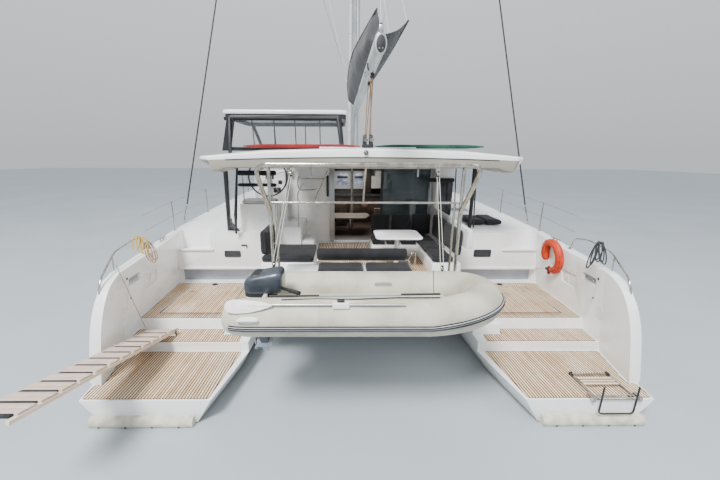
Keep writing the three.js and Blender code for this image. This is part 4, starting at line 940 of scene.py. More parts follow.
AFT_S, FORE_S, LEFT_X, RIGHT_X = 3.50, 5.27, -2.70, -0.36
curtain("helm_curtain_aft", [
    at(LEFT_X, AFT_S + 0.1, CURTAIN_LOW), at(RIGHT_X, AFT_S + 0.1, CURTAIN_LOW),
    at(RIGHT_X - 0.06, AFT_S, CURTAIN_HIGH), at(LEFT_X + 0.06, AFT_S, CURTAIN_HIGH)])
curtain("helm_curtain_fore", [
    at(LEFT_X + 0.3, FORE_S, CURTAIN_LOW), at(RIGHT_X, FORE_S, CURTAIN_LOW),
    at(RIGHT_X - 0.08, FORE_S, CURTAIN_HIGH), at(LEFT_X + 0.06, FORE_S, CURTAIN_HIGH)])

# Rolled awnings along the hardtop's aft edge, red to port and green to starboard
for label, x0, x1, cloth in (("port", -2.09, -0.03, RED_CLOTH), ("starboard", 0.23, 2.17, GREEN_CLOTH)):
    span = [at(x0 + (x1 - x0) * k / 12, 2.42, 3.565) for k in range(13)]
    widths = [0.25, 0.7] + [1.0 + 0.03 * math.sin(2.1 * k) for k in range(9)] + [0.7, 0.25]
    tube(f"rolled_awning_{label}", span, 0.034, cloth, widths=widths, detail=4)

# Port curtain of the cockpit on its own post
tube("cockpit_curtain_post", [at(-2.38, 2.90, 3.20), at(-2.50, 2.90, 2.25)], 0.022, POWDER)

# The solids' own forms, with their edges rounded and their curves smoothed
body_of = {node: body for body, nodes in frame["record"]["behaviour"]["bodies"].items() for node in nodes}


def dress(node, edge=0.0, angle=35):
    """The form of a solid with its small triangles joined, its edges rounded and its curves smoothed."""
    piece = merged_copy(node)
    piece.data.transform(frame["nodes"][node].matrix_world)
    if edge:
        soften(piece, edge, 2)
    smooth(piece, angle)
    return settle(piece, node + "_finished", frame["nodes"][node].data.materials[0], body_of[node],
                  slot=slot_of[node], stands_for=[node])


ROUNDED = {"roof": 0.02, "bridge_deck": 0.012, "bulkhead": 0.004, "helm_console": 0.025, "helm_seat": 0.025,
           "helm_top": 0.03, "aft_bench": 0.02, "port_seat": 0.02, "sofa_base": 0.02, "cockpit_table": 0.008,
           "deckhouse_port": 0.006, "deckhouse_starboard": 0.006, "deckhouse_front": 0.01,
           "engine_hatch_port": 0.002, "engine_hatch_starboard": 0.002, "tender_floor": 0.006}
for node, edge in ROUNDED.items():
    piece = dress(node, edge)
    if node == "tender_floor":
        carve(piece, cube("transom_top", at(-1.4, -0.4, 1.79), at(-1.1, 0.9, 2.1), HYPALON, edge=0.02))
SMOOTHED = ["crossbeam", "mast", "boom", "headsail", "helm_top_frame", "swim_ladder"]
PAIRED = ("stern_rail", "keel", "rudder", "saildrive", "propeller", "transom_fender", "hardtop_post")
SMOOTHED += [f"{stem}_{side_name}" for stem in PAIRED for side_name in SIDES.values()]
for node in SMOOTHED:
    piece = dress(node, 0, 50)

# Gangway: pairs of boards on two stringers, with dark rubber strips in the gaps that paint the shade seen
# between the boards
hinge = Matrix.Translation(at(-3.31, 1.29, 0.602)) @ Matrix.Rotation(math.radians(-14.6), 4, "X")


def on_gangway(name, low, high, finish, edge, **said):
    piece = cube(name, low, high, finish, body="gangway", edge=edge, **said)
    piece.data.transform(hinge)
    return piece


BOARD, BOARDS, BOARD_PITCH, HALF_PAIR = 0.083, 12, 0.215, 0.086
for i in range(BOARDS):
    middle = -0.12 - BOARD_PITCH * i
    for k, start in enumerate((middle - HALF_PAIR, middle + HALF_PAIR - BOARD)):
        said = {"slot": "teak", "stands_for": ["gangway"]} if i == k == 0 else {}
        on_gangway(f"gangway_board_{i}_{k}", (-0.21, start, 0.008), (0.21, start + BOARD, 0.030),
                   GANGWAY_TEAK, 0.003, **said)
    # Dark strips under the gaps: painted shade between the boards
    on_gangway(f"gangway_gap_shade_{i}", (-0.178, middle - 0.128, 0.006), (0.178, middle - 0.087, 0.0305),
               RUBBER, 0.002)
for k, x in enumerate((-0.203, 0.203)):
    on_gangway(f"gangway_stringer_{k}", (x - 0.017, -2.65, -0.030), (x + 0.017, 0.0, 0.007), TEAK_BOARD,
               0.004)
pin = tube("gangway_pin", [Vector((-0.22, 0, 0)), Vector((0.22, 0, 0))], 0.018, STAINLESS, body="gangway")
pin.data.transform(hinge)


# Cushions: covered foam, crowned by pressure, with piping along their edges
VOXEL, CROWN, PRESSURE, CLOTH_FRAMES = 0.02, 0.018, 4.0, 20
COVER_INSET, COVER_ROUND, PIPING_INSET, PIPING_ROUND, PIPING_RADIUS = 0.008, 0.03, 0.018, 0.05, 0.0055


def puff(piece, floor_z=None):
    """Blows a cover up a little, as foam and wadding fill it, and keeps it flat where it rests."""
    modify(piece, "REMESH", mode="VOXEL", voxel_size=VOXEL)
    start = [vertex.co.copy() for vertex in piece.data.vertices]
    bpy.ops.object.modifier_add(type="CLOTH")
    cloth = piece.modifiers[-1]
    cloth.settings.use_pressure = True
    cloth.settings.uniform_pressure_force = PRESSURE
    cloth.settings.effector_weights.gravity = 0
    for number in range(1, CLOTH_FRAMES + 1):
        bpy.context.scene.frame_set(number)
    bpy.ops.object.modifier_apply(modifier=cloth.name)
    bpy.context.scene.frame_set(1)
    for vertex, before in zip(piece.data.vertices, start):
        moved = vertex.co - before
        if moved.length > CROWN:
            vertex.co = before + moved * (CROWN / moved.length)
        if floor_z is not None:
            vertex.co.z = max(vertex.co.z, floor_z)
    return smooth(modify(piece, "SUBSURF", levels=1, render_levels=1), 80)


def pad(name, low, high, across="z", finish=CHARCOAL, **said):
    """A boxed cushion: its two broad faces lie across the given axis and are piped all round."""
    inset = Vector((COVER_INSET,) * 3)
    piece = soften(block(low + inset, high - inset), COVER_ROUND, 3)
    puff(piece, low.z if across == "z" else None)
    settle(piece, name, finish, **said)
    axis = "xyz".index(across)
    first, second = (k for k in range(3) if k != axis)
    for end, level in (("low", low[axis] + PIPING_INSET), ("high", high[axis] - PIPING_INSET)):
        corners = []
        for a, b in ((low, low), (high, low), (high, high), (low, high)):
            corner = Vector((0, 0, 0))
            corner[axis], corner[first], corner[second] = level, a[first], b[second]
            corners.append(corner)
        ring = rounded_outline(corners, PIPING_ROUND, 4)
        dense = [a.lerp(b, k / 8) for a, b in zip(ring, ring[1:] + ring[:1]) for k in range(8)]
        on_cover = [piece.closest_point_on_mesh(point)[1] for point in dense]
        tube(f"{name}_piping_{end}", on_cover, PIPING_RADIUS, PIPING, closed=True, detail=1)


SEAT, BACK = (1.502, 1.62), (1.62, 2.13)
PADS = [
    ("aft_bench_pad_port", (-0.77, 0.027), (1.34, 1.86), SEAT, "z", "aft_bench_cushion"),
    ("aft_bench_pad_starboard", (0.033, 0.83), (1.34, 1.86), SEAT, "z", None),
    ("port_seat_pad", (-1.845, -0.86), (2.10, 3.05), SEAT, "z", "port_seat_cushion"),
    ("port_seat_back", (-1.845, -1.735), (2.15, 3.03), (1.62, 2.09), "x", None),
]
SOFA_SEATS = [((1.31, 1.72), (2.09, 2.685)), ((1.31, 1.72), (2.695, 3.30)), ((1.31, 1.72), (3.31, 3.77)),
              ((0.94, 1.30), (3.31, 3.77)), ((0.62, 0.93), (3.31, 3.77)), ((0.305, 0.61), (3.31, 3.77))]
SOFA_BACKS = [((1.725, 1.842), (2.09, 2.92), "x"), ((1.725, 1.842), (2.93, 3.77), "x"),
              ((0.31, 0.77), (3.78, 3.895), "y"), ((0.78, 1.24), (3.78, 3.895), "y"),
              ((1.25, 1.72), (3.78, 3.895), "y")]
PADS += [(f"sofa_seat_{i}", *ranges, SEAT, "z", None if i else "sofa_cushion")
         for i, ranges in enumerate(SOFA_SEATS)]
PADS += [(f"sofa_back_{i}", x, s, BACK, across, None) for i, (x, s, across) in enumerate(SOFA_BACKS)]
PADS += [("sunpad_inner", (2.56, 2.95), (3.70, 4.50), (1.875, 1.985), "z", "side_sunpad"),
         ("sunpad_outer", (2.96, 3.35), (3.70, 4.50), (1.875, 1.985), "z", None)]
for name, x, s, z, across, node in PADS:
    said = {"slot": "cushion", "stands_for": [node]} if node else {}
    pad(name, at(x[0], s[0], z[0]), at(x[1], s[1], z[1]), across, **said)
pad("helm_seat_pad", at(-2.46, 3.18, 2.422), at(-1.71, 3.55, 2.51), finish=WHITE_VINYL)
for i, (z, half) in enumerate(((2.82, 0.036), (3.06, 0.052))):
    said = {"slot": "cushion", "stands_for": ["helm_backrest"]} if i == 0 else {}
    profile = [(0.4 * half, -0.395), (0.8 * half, -0.385), (half, -0.36), (half, 0.36), (0.8 * half, 0.385),
               (0.4 * half, 0.395)]
    bar = turned(f"helm_backrest_{i}", profile, at(-2.085, 3.18, z), (1, 0, 0), CHARCOAL, angle=60, **said)
for i, x in enumerate((-2.38, -1.79)):
    tube(f"helm_backrest_post_{i}", [at(x, 3.185, 2.42), at(x, 3.185, 3.07)], 0.013, STAINLESS)
ROLL = [(0.05, -0.80), (0.088, -0.79), (0.103, -0.765), (0.103, -0.005), (0.098, 0.0), (0.103, 0.005),
        (0.103, 0.765), (0.088, 0.79), (0.05, 0.80)]
roll = turned("aft_bench_roll_pad", ROLL, at(0.005, 1.975, 1.715), (1, 0, 0), CHARCOAL, sides=32, angle=50,
              slot="cushion", stands_for=["aft_bench_roll"])
tube("roll_frame", [at(-0.83, 1.99, 1.50), at(-0.83, 1.97, 1.60), at(0.86, 1.97, 1.60),
                    at(0.86, 1.99, 1.50)], 0.012, STAINLESS, corner=0.04)
tube("roll_frame_end", [at(0.83, 1.99, 1.60), at(0.90, 1.96, 1.74), at(0.98, 2.05, 1.74),
                        at(0.98, 2.06, 1.50)], 0.011, STAINLESS, corner=0.05)

# Davit arch: each brace runs on into the aft bar; falls and blocks carry the tender
UP = (0, 0, 1)
ARCH_X, ARCH_S, BAR_S, BAR_Z, CROSS_Z = 1.40, 1.20, 0.80, 3.29, 2.74
brace = [at(ARCH_X, ARCH_S, 2.40), at(ARCH_X, ARCH_S, 2.60), at(ARCH_X + 0.06, 0.97, 2.98),
         at(ARCH_X + 0.095, BAR_S, BAR_Z)]
mirrored = [Vector((-p.x, p.y, p.z)) for p in brace]
tube("davit_bar", [*mirrored, *reversed(brace)], 0.032, STAINLESS, corner=0.17, detail=4,
     slot="steel", stands_for=["davit_arch"])
for side, side_name in SIDES.items():
    x, inner = side * ARCH_X, side * (ARCH_X - 0.075)
    tube(f"davit_frame_{side_name}", [at(x, ARCH_S, SOLE), at(x, ARCH_S, BAR_Z - 0.03),
                                      at(x - side * 0.06, BAR_S + 0.10, BAR_Z - 0.01)],
         0.026, STAINLESS, corner=0.10, detail=4)
    tube(f"davit_inner_{side_name}", [at(inner, ARCH_S + 0.05, SOLE), at(inner, ARCH_S + 0.05, CROSS_Z)],
         0.018, STAINLESS, detail=3)
    turned(f"davit_foot_{side_name}", [(0.07, 0.0), (0.068, 0.008), (0.04, 0.014), (0.034, 0.05)],
           at(x, ARCH_S, SOLE), UP, STAINLESS)
tube("davit_cross_rail", [at(-ARCH_X, ARCH_S, CROSS_Z), at(ARCH_X, ARCH_S, CROSS_Z)], 0.016, STAINLESS,
     detail=3)
FALLS = {"port": (at(-1.0, BAR_S, BAR_Z - 0.03), at(-1.27, 0.60, 1.94)),
         "starboard": (at(0.9, BAR_S, BAR_Z - 0.03), at(1.05, 0.725, 1.84))}
HALF_BLOCK = Vector((0.016, 0.02, 0.04))
SHEAVE = [(0.024, -0.02), (0.026, -0.014), (0.026, 0.014), (0.024, 0.02)]
for label, (top, low) in FALLS.items():
    for k, shift in enumerate((-0.014, 0.014)):
        tube(f"fall_{label}_{k}", [top + Vector((shift, 0, 0)), low + Vector((shift * 1.6, 0, 0))], 0.0045,
             WHITE_ROPE, detail=1)
    for k, place in enumerate((top.lerp(low, 0.06), low.lerp(top, 0.04))):
        cube(f"fall_block_{label}_{k}", place - HALF_BLOCK, place + HALF_BLOCK, NYLON, edge=0.012,
             segments=3)
        turned(f"fall_sheave_{label}_{k}", SHEAVE, place, (1, 0, 0), STAINLESS, sides=20)

# Steering wheel: a covered rim on bright spokes
HUB, RIM = at(-2.04, 3.95, 2.93), 0.43


def on_rim(c, s):
    return HUB + Vector((c, 0, s)) * RIM


tube("wheel_rim", [on_rim(c, s) for c, s in round_turn(40)], 0.018, NYLON, "wheel", closed=True, detail=3,
     slot="steel", stands_for=["steering_wheel"])
for k, (c, s) in enumerate(round_turn(5, 90)):
    tip = on_rim(c, s)
    tube(f"wheel_spoke_{k}", [HUB, HUB.lerp(tip, 0.5) + Vector((0, 0.012, 0)), tip], 0.0085, STAINLESS,
         "wheel", corner=0.05)
turned("wheel_hub", [(0.02, -0.035), (0.045, -0.03), (0.055, -0.01), (0.036, 0.02), (0.036, 0.195)], HUB,
       (0, 1, 0), STAINLESS, "wheel")

# Fittings of the stern: toe recess with its grey back of painted shade, vents, lids, latches, rail feet
LID = [(0.088, 0.0), (0.088, 0.008), (0.080, 0.012), (0.072, 0.009), (0.030, 0.010)]
RAIL_FOOT = [(0.034, 0.0), (0.034, 0.008), (0.022, 0.014), (0.018, 0.03)]
for side, side_name in SIDES.items():
    def disc(name, profile, s, z, off, finish, sides):
        """A turned fitting on the bulwark's inner face."""
        axes = bulwark_frame(side, s, z)
        turned(name, profile, axes[0] + axes[3] * off, axes[3], finish, sides=sides)

    # The toe recess's back: grey gelcoat that also paints the shade at the back of the recess
    toe = [at(side * x, LOCKER_WALL + TOE_DEPTH - 0.001, z) for x, z in (
        (1.87, UPPER_STEP), (face(3.1, UPPER_STEP) - 0.005, UPPER_STEP),
        (face(3.1, LOCKER_TOE) - 0.005, LOCKER_TOE), (1.87, LOCKER_TOE))]
    plate(f"toe_recess_shade_{side_name}", toe, (0, -0.003, 0), GREY_GELCOAT)
    disc(f"round_lid_{side_name}", LID, 1.12, 1.00, -0.004, GELCOAT, 36)
    disc(f"round_lid_seal_{side_name}", [(0.093, 0.0), (0.092, 0.0055)], 1.12, 1.00, -0.004,
         GREY_GELCOAT, 36)
    for i, (s, z, radius) in enumerate(((1.22, 1.54, 0.020), (1.30, 1.18, 0.016))):
        profile = [(radius, 0.0), (radius, 0.006), (0.7 * radius, 0.01)]
        disc(f"light_{side_name}_{i}", profile, s, z, -0.002, NYLON, 20)
    axes = bulwark_frame(side, *GRIP)
    here, run, rise, out = axes
    # The grip recess's floor: grey gelcoat that also paints the shade inside the recess
    plate(f"recess_floor_shade_{side_name}", on_bulwark(axes, 0.15, 0.05, -0.033), out * 0.003, GREY_GELCOAT)
    handle = [here + run * a * 0.10 + out * b for a, b in ((-1, -0.03), (-1, 0.002), (1, 0.002), (1, -0.03))]
    tube(f"recess_grip_{side_name}", handle, 0.007, STAINLESS, corner=0.02)
    axes = bulwark_frame(side, *LOCKER)
    for k, shift in enumerate((-0.10, 0.10)):
        lid = rounded_outline(on_bulwark(axes, 0.085, 0.10, -0.021, shift), 0.02)
        plate(f"locker_lid_{side_name}_{k}", lid, axes[3] * 0.012, GELCOAT, edge=0.004)
    turned(f"ring_pull_{side_name}", [(0.032, 0.0), (0.032, 0.003), (0.027, 0.005)],
           at(side * 3.40, 2.62, UPPER_STEP + 0.003), UP, STAINLESS, f"hatch_{side_name}", sides=24)
    turned(f"drain_{side_name}", [(0.055, 0.0), (0.052, 0.012), (0.035, 0.022)],
           at(side * 3.09, 3.00, UPPER_STEP + 0.003), UP, NYLON, sides=24)
    for i, (s, z, inset, finish) in enumerate(((0.53, 1.31, 0.017, NYLON), (2.17, 1.76, 0.1, STAINLESS))):
        turned(f"rail_foot_{side_name}_{i}", RAIL_FOOT, at(side * (line(s, RAIL) - inset), s, z),
               (-0.25 * side, 0, 1), finish, sides=20)
    for i in range(4):
        turned(f"fender_bolt_{side_name}_{i}", [(0.015, 0.0), (0.013, 0.004)],
               at(side * (2.45 + 0.34 * i), -0.079, 0.012), (0, -1, -0.2), NYLON, sides=12)
    cleat = at(side * (line(2.6, RAIL) - 0.13), 2.6, line(2.6, SHEER))
    for i, shift in enumerate((-0.05, 0.05)):
        leg = [cleat + Vector((0, shift, rise)) for rise in (0, 0.045)]
        tube(f"cleat_leg_{side_name}_{i}", leg, 0.014, STAINLESS)
    bar = [cleat + Vector((0, y, z)) for y, z in (
        (-0.15, 0.058), (-0.08, 0.05), (0.08, 0.05), (0.15, 0.058))]
    tube(f"cleat_bar_{side_name}", bar, 0.013, STAINLESS, widths=(0.5, 1, 1, 0.5), detail=3)


for side, side_name in SIDES.items():
    for name, inner, z, edge, s0, z0, z1 in (("toe", 1.87, LOCKER_TOE, 0.014, 3.070, 1.022, 1.078),
                                             ("shelf", 3.08, 1.46, 0.016, 3.060, 1.44, 1.49)):
        x0, x1 = sorted((side * inner, side * (face(3.1, z) - 0.012)))
        cube(f"{name}_lip_{side_name}", at(x0, s0, z0), at(x1, 3.104, z1), GELCOAT, edge=edge, segments=3)


def hank(name, loops, s, finish, thick):
    """A rope hung up in long loops; each row gives the loop's top, its foot and its half width."""
    path = []
    for k, (x_top, z_top, x_low, z_low, half) in enumerate(loops):
        for c, sine in round_turn(16):
            fall = (1 - c) / 2
            path.append(at(x_top + (x_low - x_top) * fall + half * sine, s + 0.016 * k + 0.012 * sine,
                           z_top + (z_low - z_top) * fall))
    points = smooth_line(path, len(path) * 2)
    piece = tube(name, points, thick / 2, finish, detail=2)


hank("rope_hank_starboard", [(3.50, 2.16, 3.41, 1.75, 0.050), (3.52, 2.17, 3.47, 1.80, 0.045),
                             (3.55, 2.16, 3.58, 1.84, 0.060), (3.58, 2.15, 3.66, 1.83, 0.050),
                             (3.60, 2.13, 3.72, 1.79, 0.060), (3.63, 2.14, 3.60, 1.86, 0.055)],
     1.14, BLACK_ROPE, 0.018)
hank("rope_hank_port", [(-3.56, 2.19, -3.62, 1.95, 0.050), (-3.54, 2.17, -3.55, 1.90, 0.045),
                        (-3.51, 2.13, -3.47, 1.93, 0.045), (-3.49, 2.15, -3.50, 1.86, 0.050)],
     1.42, YELLOW_ROPE, 0.018)
hank("rope_hank_port_brown", [(-3.50, 2.05, -3.46, 1.72, 0.045), (-3.48, 2.06, -3.42, 1.70, 0.045),
                              (-3.47, 2.04, -3.40, 1.74, 0.050)], 1.52, TAN_ROPE, 0.016)
tube("gangway_lift_line", [at(-3.62, 0.95, 1.86), at(-3.69, 1.45, 0.56)], 0.005, TAN_ROPE, detail=1)


def vent(name, x0, x1, z0, z1):
    """A moulded black grille on the locker wall, with its slats."""
    s = LOCKER_WALL - 0.001
    rim = rounded_outline(upright(x0, x1, s - 0.004, z0, z1), 0.025)
    tube(name + "_rim", rim, 0.009, NYLON, closed=True)
    plate(name + "_back", upright(x0, x1, s, z0, z1), (0, -0.002, 0), NYLON)
    for k in range(5):
        z = z0 + (z1 - z0) * (k + 0.5) / 5
        slat = [at(x, s - off, z + rise) for x, off, rise in (
            (x0, 0.002, 0.008), (x1, 0.002, 0.008), (x1, 0.010, -0.006), (x0, 0.010, -0.006))]
        plate(f"{name}_slat_{k}", slat, (0, 0, -0.003), POWDER)


vent("vent_port", -2.85, -2.52, 1.30, 1.43)
vent("vent_starboard", 2.49, 2.85, 1.31, 1.46)
for i, (low, high) in enumerate((((-2.49, 1.545), (-2.36, 1.575)), ((-2.385, 1.49), (-2.36, 1.575)))):
    cube(f"catch_{i}", at(low[0], 3.085, low[1]), at(high[0], 3.101, high[1]), NYLON, edge=0.005)

# Ladder: dark grips bent over the platform's edge and hooks at its forward end
tube("ladder_grip", [at(2.965, -0.066, 0.59), at(2.965, -0.066, 0.19), at(3.415, -0.066, 0.19),
                     at(3.415, -0.066, 0.59)], 0.011, NYLON, corner=0.05, detail=3)
for k, x in enumerate((2.93, 3.45)):
    tube(f"ladder_hook_{k}", [at(x, 0.40, 0.39), at(x, 0.47, 0.41), at(x, 0.47, 0.375)], 0.0165, NYLON,
         "swim_ladder", corner=0.02)
for k, s in enumerate((0.24, 0.295, 0.35)):
    cube(f"ladder_tread_{k}", at(2.95, s - 0.018, 0.401), at(3.43, s + 0.018, 0.406), TEAK_BOARD,
         "swim_ladder", edge=0.002)

# Horseshoe lifebuoy: coated foam with light bands, a lamp and its holder
here, run, rise, out = bulwark_frame(STARBOARD, 2.40, 1.545)
BUOY_TUBE = 0.062
shape = smooth_line([here + out * (BUOY_TUBE + 0.002) + run * y + rise * z for y, z in (
    (0.215, -0.135), (0.245, 0.03), (0.19, 0.19), (0.04, 0.265), (-0.12, 0.22), (-0.225, 0.07),
    (-0.215, -0.10), (-0.12, -0.235), (0.03, -0.28))], 48)
taper = [0.55, 0.8, 0.95] + [1.0] * (len(shape) - 6) + [0.95, 0.8, 0.55]
tube("lifebuoy_foam", shape, BUOY_TUBE + 0.010, ORANGE, widths=taper, detail=6,
               slot="orange_foam", stands_for=["lifebuoy"])
for k, turn in enumerate((-60, -20, 20, 60)):
    away, along = math.cos(math.radians(turn)), math.sin(math.radians(turn))
    rib = []
    for before, here, after in zip(shape, shape[1:], shape[2:]):
        across = (after - before).normalized().cross(out)
        rib.append(here + (out * away + across * along) * (BUOY_TUBE + 0.0095))
    tube(f"lifebuoy_rib_{k}", rib[3:-3], 0.0035, RED_CLOTH, detail=1)
for label, (y0, y1), (z0, z1), lift, finish in (
        ("lamp", (0.005, 0.065), (-0.10, 0.06), 0.05, RED_CLOTH),
        ("plate", (-0.05, 0.0), (-0.12, 0.10), 0.03, WHITE_VINYL),
        ("clip", (-0.02, 0.10), (-0.02, 0.02), 0.07, NYLON)):
    corners = [here + run * y + rise * z for y, z in ((y0, z0), (y1, z0), (y1, z1), (y0, z1))]
    plate(f"lifebuoy_{label}", rounded_outline(corners, 0.012), out * lift, finish, edge=0.006)

# Boom end, mainsheet and the lines that hold the bag up
BOOM_END, HALF_BOOM, HALF_BOOM_HEIGHT = at(0.11, 0.795, 4.69), 0.065, 0.112
for name, share, depth, finish in (("rim", 1.12, 0.012, ALUMINIUM), ("plate", 0.86, 0.016, NYLON)):
    ring = [BOOM_END + Vector((HALF_BOOM * share * c, 0, HALF_BOOM_HEIGHT * share * s))
            for c, s in round_turn(36)]
    plate(f"boom_cap_{name}", ring, (0, -depth, 0), finish, "boom", edge=0.003)
cube("boom_sheave_box", BOOM_END + Vector((-0.028, -0.02, 0.115)), BOOM_END + Vector((0.028, 0.12, 0.20)),
     ALUMINIUM, "boom", edge=0.01)
turned("boom_sheave", [(0.040, -0.012), (0.034, 0.0), (0.040, 0.012)], BOOM_END + Vector((0, 0.02, 0.19)),
       (1, 0, 0), NYLON, "boom")
for k, x in enumerate((-0.02, 0.02)):
    turned(f"boom_cap_bolt_{k}", [(0.012, 0.0), (0.010, 0.004)], BOOM_END + Vector((x, -0.017, -0.05)),
           (0, -1, 0), STAINLESS, "boom", sides=12)
MASTHEAD = at(0.0, 5.83, 21.2)


def boom_line(name, low, high, radius, finish, detail=1):
    """A taut line whose one end swings with the boom while the other stays on the boat."""
    piece = tube(name, [low, high], radius, finish, detail=detail)
    piece.parent = None
    piece.matrix_world = Matrix.Identity(4)
    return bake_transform(piece)


boom_line("topping_lift", BOOM_END + Vector((0, 0.05, 0.20)), MASTHEAD, 0.004, WHITE_ROPE)
SHEET_LOW = at(0.10, 2.40, 3.74)
for k, (s, shift) in enumerate(((1.65, -0.012), (1.65, 0.012), (2.15, -0.022), (2.15, 0.022))):
    top = at(0.09 + shift, s, 4.56)
    boom_line(f"mainsheet_{k}", top, SHEET_LOW + Vector((shift * 2.2, 0, 0)), 0.009, TAN_ROPE)
for k, s in enumerate((1.65, 2.15)):
    cube(f"boom_block_{k}", at(0.06, s - 0.035, 4.50), at(0.12, s + 0.035, 4.585), NYLON, "boom", edge=0.015,
         segments=3)
    tube(f"boom_strap_{k}", [at(0.09 - 0.075, s, 4.70), at(0.02, s, 4.60), at(0.16, s, 4.60),
                             at(0.09 + 0.075, s, 4.70)], 0.009, NYLON, "boom", corner=0.05)
for k, x in enumerate((0.045, 0.155)):
    lump(f"deck_block_{k}", at(x - 0.035, 2.34, 3.58), at(x + 0.035, 2.46, 3.76), NYLON, (0.8, 0.7), 0.0)
    turned(f"deck_sheave_{k}", [(0.030, -0.030), (0.036, -0.020), (0.036, 0.020), (0.030, 0.030)],
           at(x + 0.01, 2.345, 3.67), (0.5, 1, 0), STAINLESS, sides=24)
cube("traveller_track", at(-0.75, 2.375, 3.523), at(0.95, 2.425, 3.552), ALUMINIUM, edge=0.006)
cube("traveller_car", at(0.0, 2.35, 3.545), at(0.20, 2.45, 3.60), NYLON, edge=0.012)
LAZY = [((-0.10, 2.2, 5.14), (-0.03, 5.70, 10.6)), ((-0.22, 5.0, 5.09), (-1.30, 5.60, 9.62)),
        ((0.40, 2.0, 4.95), (0.03, 5.70, 10.6)), ((0.44, 0.95, 4.97), (0.03, 5.70, 10.55))]
for k, (low, high) in enumerate(LAZY):
    boom_line(f"lazy_jack_{k}", at(*low), at(*high), 0.0035, WHITE_ROPE)
cube("lazy_jack_bracket", at(-0.04, 5.69, 10.52), at(0.04, 5.87, 10.63), STAINLESS, edge=0.006)

# Hardtop: the fairlead on its aft edge, a dark line of painted shade under its lip, curtain parts, post foot
# and gusset, winches
turned("hardtop_fairlead", [(0.045, 0.0), (0.045, 0.01), (0.034, 0.03), (0.022, 0.034)],
       at(0.05, 2.055, 3.455), (0, -1, 0.1), STAINLESS)
tube("hardtop_ring", [at(0.05 + 0.03 * c, 2.02, 3.455 + 0.03 * s) for c, s in round_turn(18)], 0.006, NYLON,
     closed=True)
# A dark tube along the lip's lower edge: a painted shade line where the lip meets the shaded underside
for side, side_name in SIDES.items():
    tube(f"hardtop_shade_line_{side_name}", [at(side * x, 2.046, 3.378 - SHADE_LINE_CROWN * x * x) for x in (
        0.0, 0.5, 1.0, 1.5, 2.0, 2.3)], 0.007, POWDER, detail=1)
plate("post_gusset", [at(-2.77, 3.30, 1.83), at(-2.52, 3.22, 1.83), at(-2.69, 3.10, 2.12)], (0, 0.02, 0),
      POWDER, edge=0.004)
tube("cockpit_curtain_foot", [at(-2.50, 2.90, 2.25), at(-2.54, 3.0, 1.84)], 0.022, POWDER)
curtain("cockpit_curtain_port", [at(-2.74, 3.20, 1.95), at(-2.50, 2.92, 1.95), at(-2.38, 2.90, 3.16),
                                 at(-2.52, 2.62, 3.16)])
for k, (s, x) in enumerate(((3.30, 2.50), (4.30, 2.42))):
    tube(f"side_curtain_edge_{k}", [at(x, s, 1.90), at(x - 0.06, s, 3.16)], 0.014, NYLON, detail=1)
WINCH = [(0.062, 0.0), (0.060, 0.02), (0.046, 0.035), (0.042, 0.08), (0.050, 0.10), (0.050, 0.115),
         (0.030, 0.125), (0.018, 0.13)]
for k, place in enumerate(((-2.96, 3.90, 1.86), (-1.62, 4.36, 3.08), (-2.28, 4.36, 3.08))):
    turned(f"winch_{k}", WINCH, at(*place), UP, STAINLESS if k else NYLON, sides=28)

# Helm: dark panel and legs' canvas, zips in the clear curtain, instruments on the console
CANVAS_STRIPS = {
    "helm_panel_aft": (0.19, 0.70, [(-2.89, 3.59, 3.50), (-2.70, 3.59, 3.50), (-2.53, 3.49, 4.16),
                                    (-2.70, 3.49, 4.16)]),
    "helm_panel_fore": (0.10, 0.67, [(-0.38, 3.58, 3.50), (-0.30, 3.58, 3.50), (-0.36, 3.46, 4.15),
                                     (-0.46, 3.46, 4.15)]),
    "helm_valance": (2.40, 0.075, [(-2.76, 3.492, 4.095), (-0.36, 3.492, 4.095), (-0.36, 3.482, 4.165),
                                   (-2.76, 3.482, 4.165)]),
    "helm_canvas_low": (2.40, 0.08, [(-2.74, 3.60, 3.50), (-0.34, 3.60, 3.50), (-0.34, 3.60, 3.58),
                                     (-2.74, 3.60, 3.58)]),
}
for name, (width, length, corners) in CANVAS_STRIPS.items():
    strip = plate(name, [at(*corner) for corner in corners], (0, 0.006, 0), CHARCOAL)
    declare_sheet(strip)
for k, x in enumerate((-2.20, -1.75, -1.32, -0.81)):
    tube(f"helm_zip_{k}", [at(x, 3.605, 3.57), at(x, 3.505, 4.13)], 0.011, NYLON, detail=1)
for k, x in enumerate((-2.1, -1.3)):
    tube(f"helm_fore_zip_{k}", [at(x, 5.265, 3.58), at(x, 5.265, 4.13)], 0.014, NYLON, detail=1)
INSTRUMENTS = ((-2.04, 4.14, 2.93, 0.10, 0.06), (-2.28, 4.135, 2.80, 0.045, 0.045),
               (-1.80, 4.135, 2.80, 0.045, 0.045))
for k, (x, s, z, w, h) in enumerate(INSTRUMENTS):
    cube(f"instrument_{k}", at(x - w, s, z - h), at(x + w, 4.20, z + h), NYLON, edge=0.008)
for k, x in enumerate((-1.92, -1.84)):
    tube(f"throttle_{k}", [at(x, 4.17, 2.64), at(x, 4.10, 2.66), at(x, 4.06, 2.75)], 0.010, STAINLESS,
         corner=0.02)
cube("throttle_base", at(-1.97, 4.12, 2.56), at(-1.79, 4.18, 2.68), NYLON, edge=0.02, segments=3)
GRABS = [
    [(-0.67, 4.30, 3.10), (-0.69, 4.30, 3.06), (-1.01, 4.30, 2.39), (-1.01, 4.52, 2.37)],
    [(-1.35, 4.30, 2.87), (-0.80, 4.30, 2.87), (-0.77, 4.52, 2.87)],
    [(-1.42, 4.54, 2.92), (-1.42, 4.32, 2.75), (-1.38, 4.30, 2.60), (-1.02, 4.30, 2.61),
     (-0.98, 4.52, 2.61)],
    [(-1.30, 3.42, 1.89), (-1.30, 3.42, 2.62), (-1.30, 4.20, 2.74), (-1.30, 4.53, 2.74)],
]
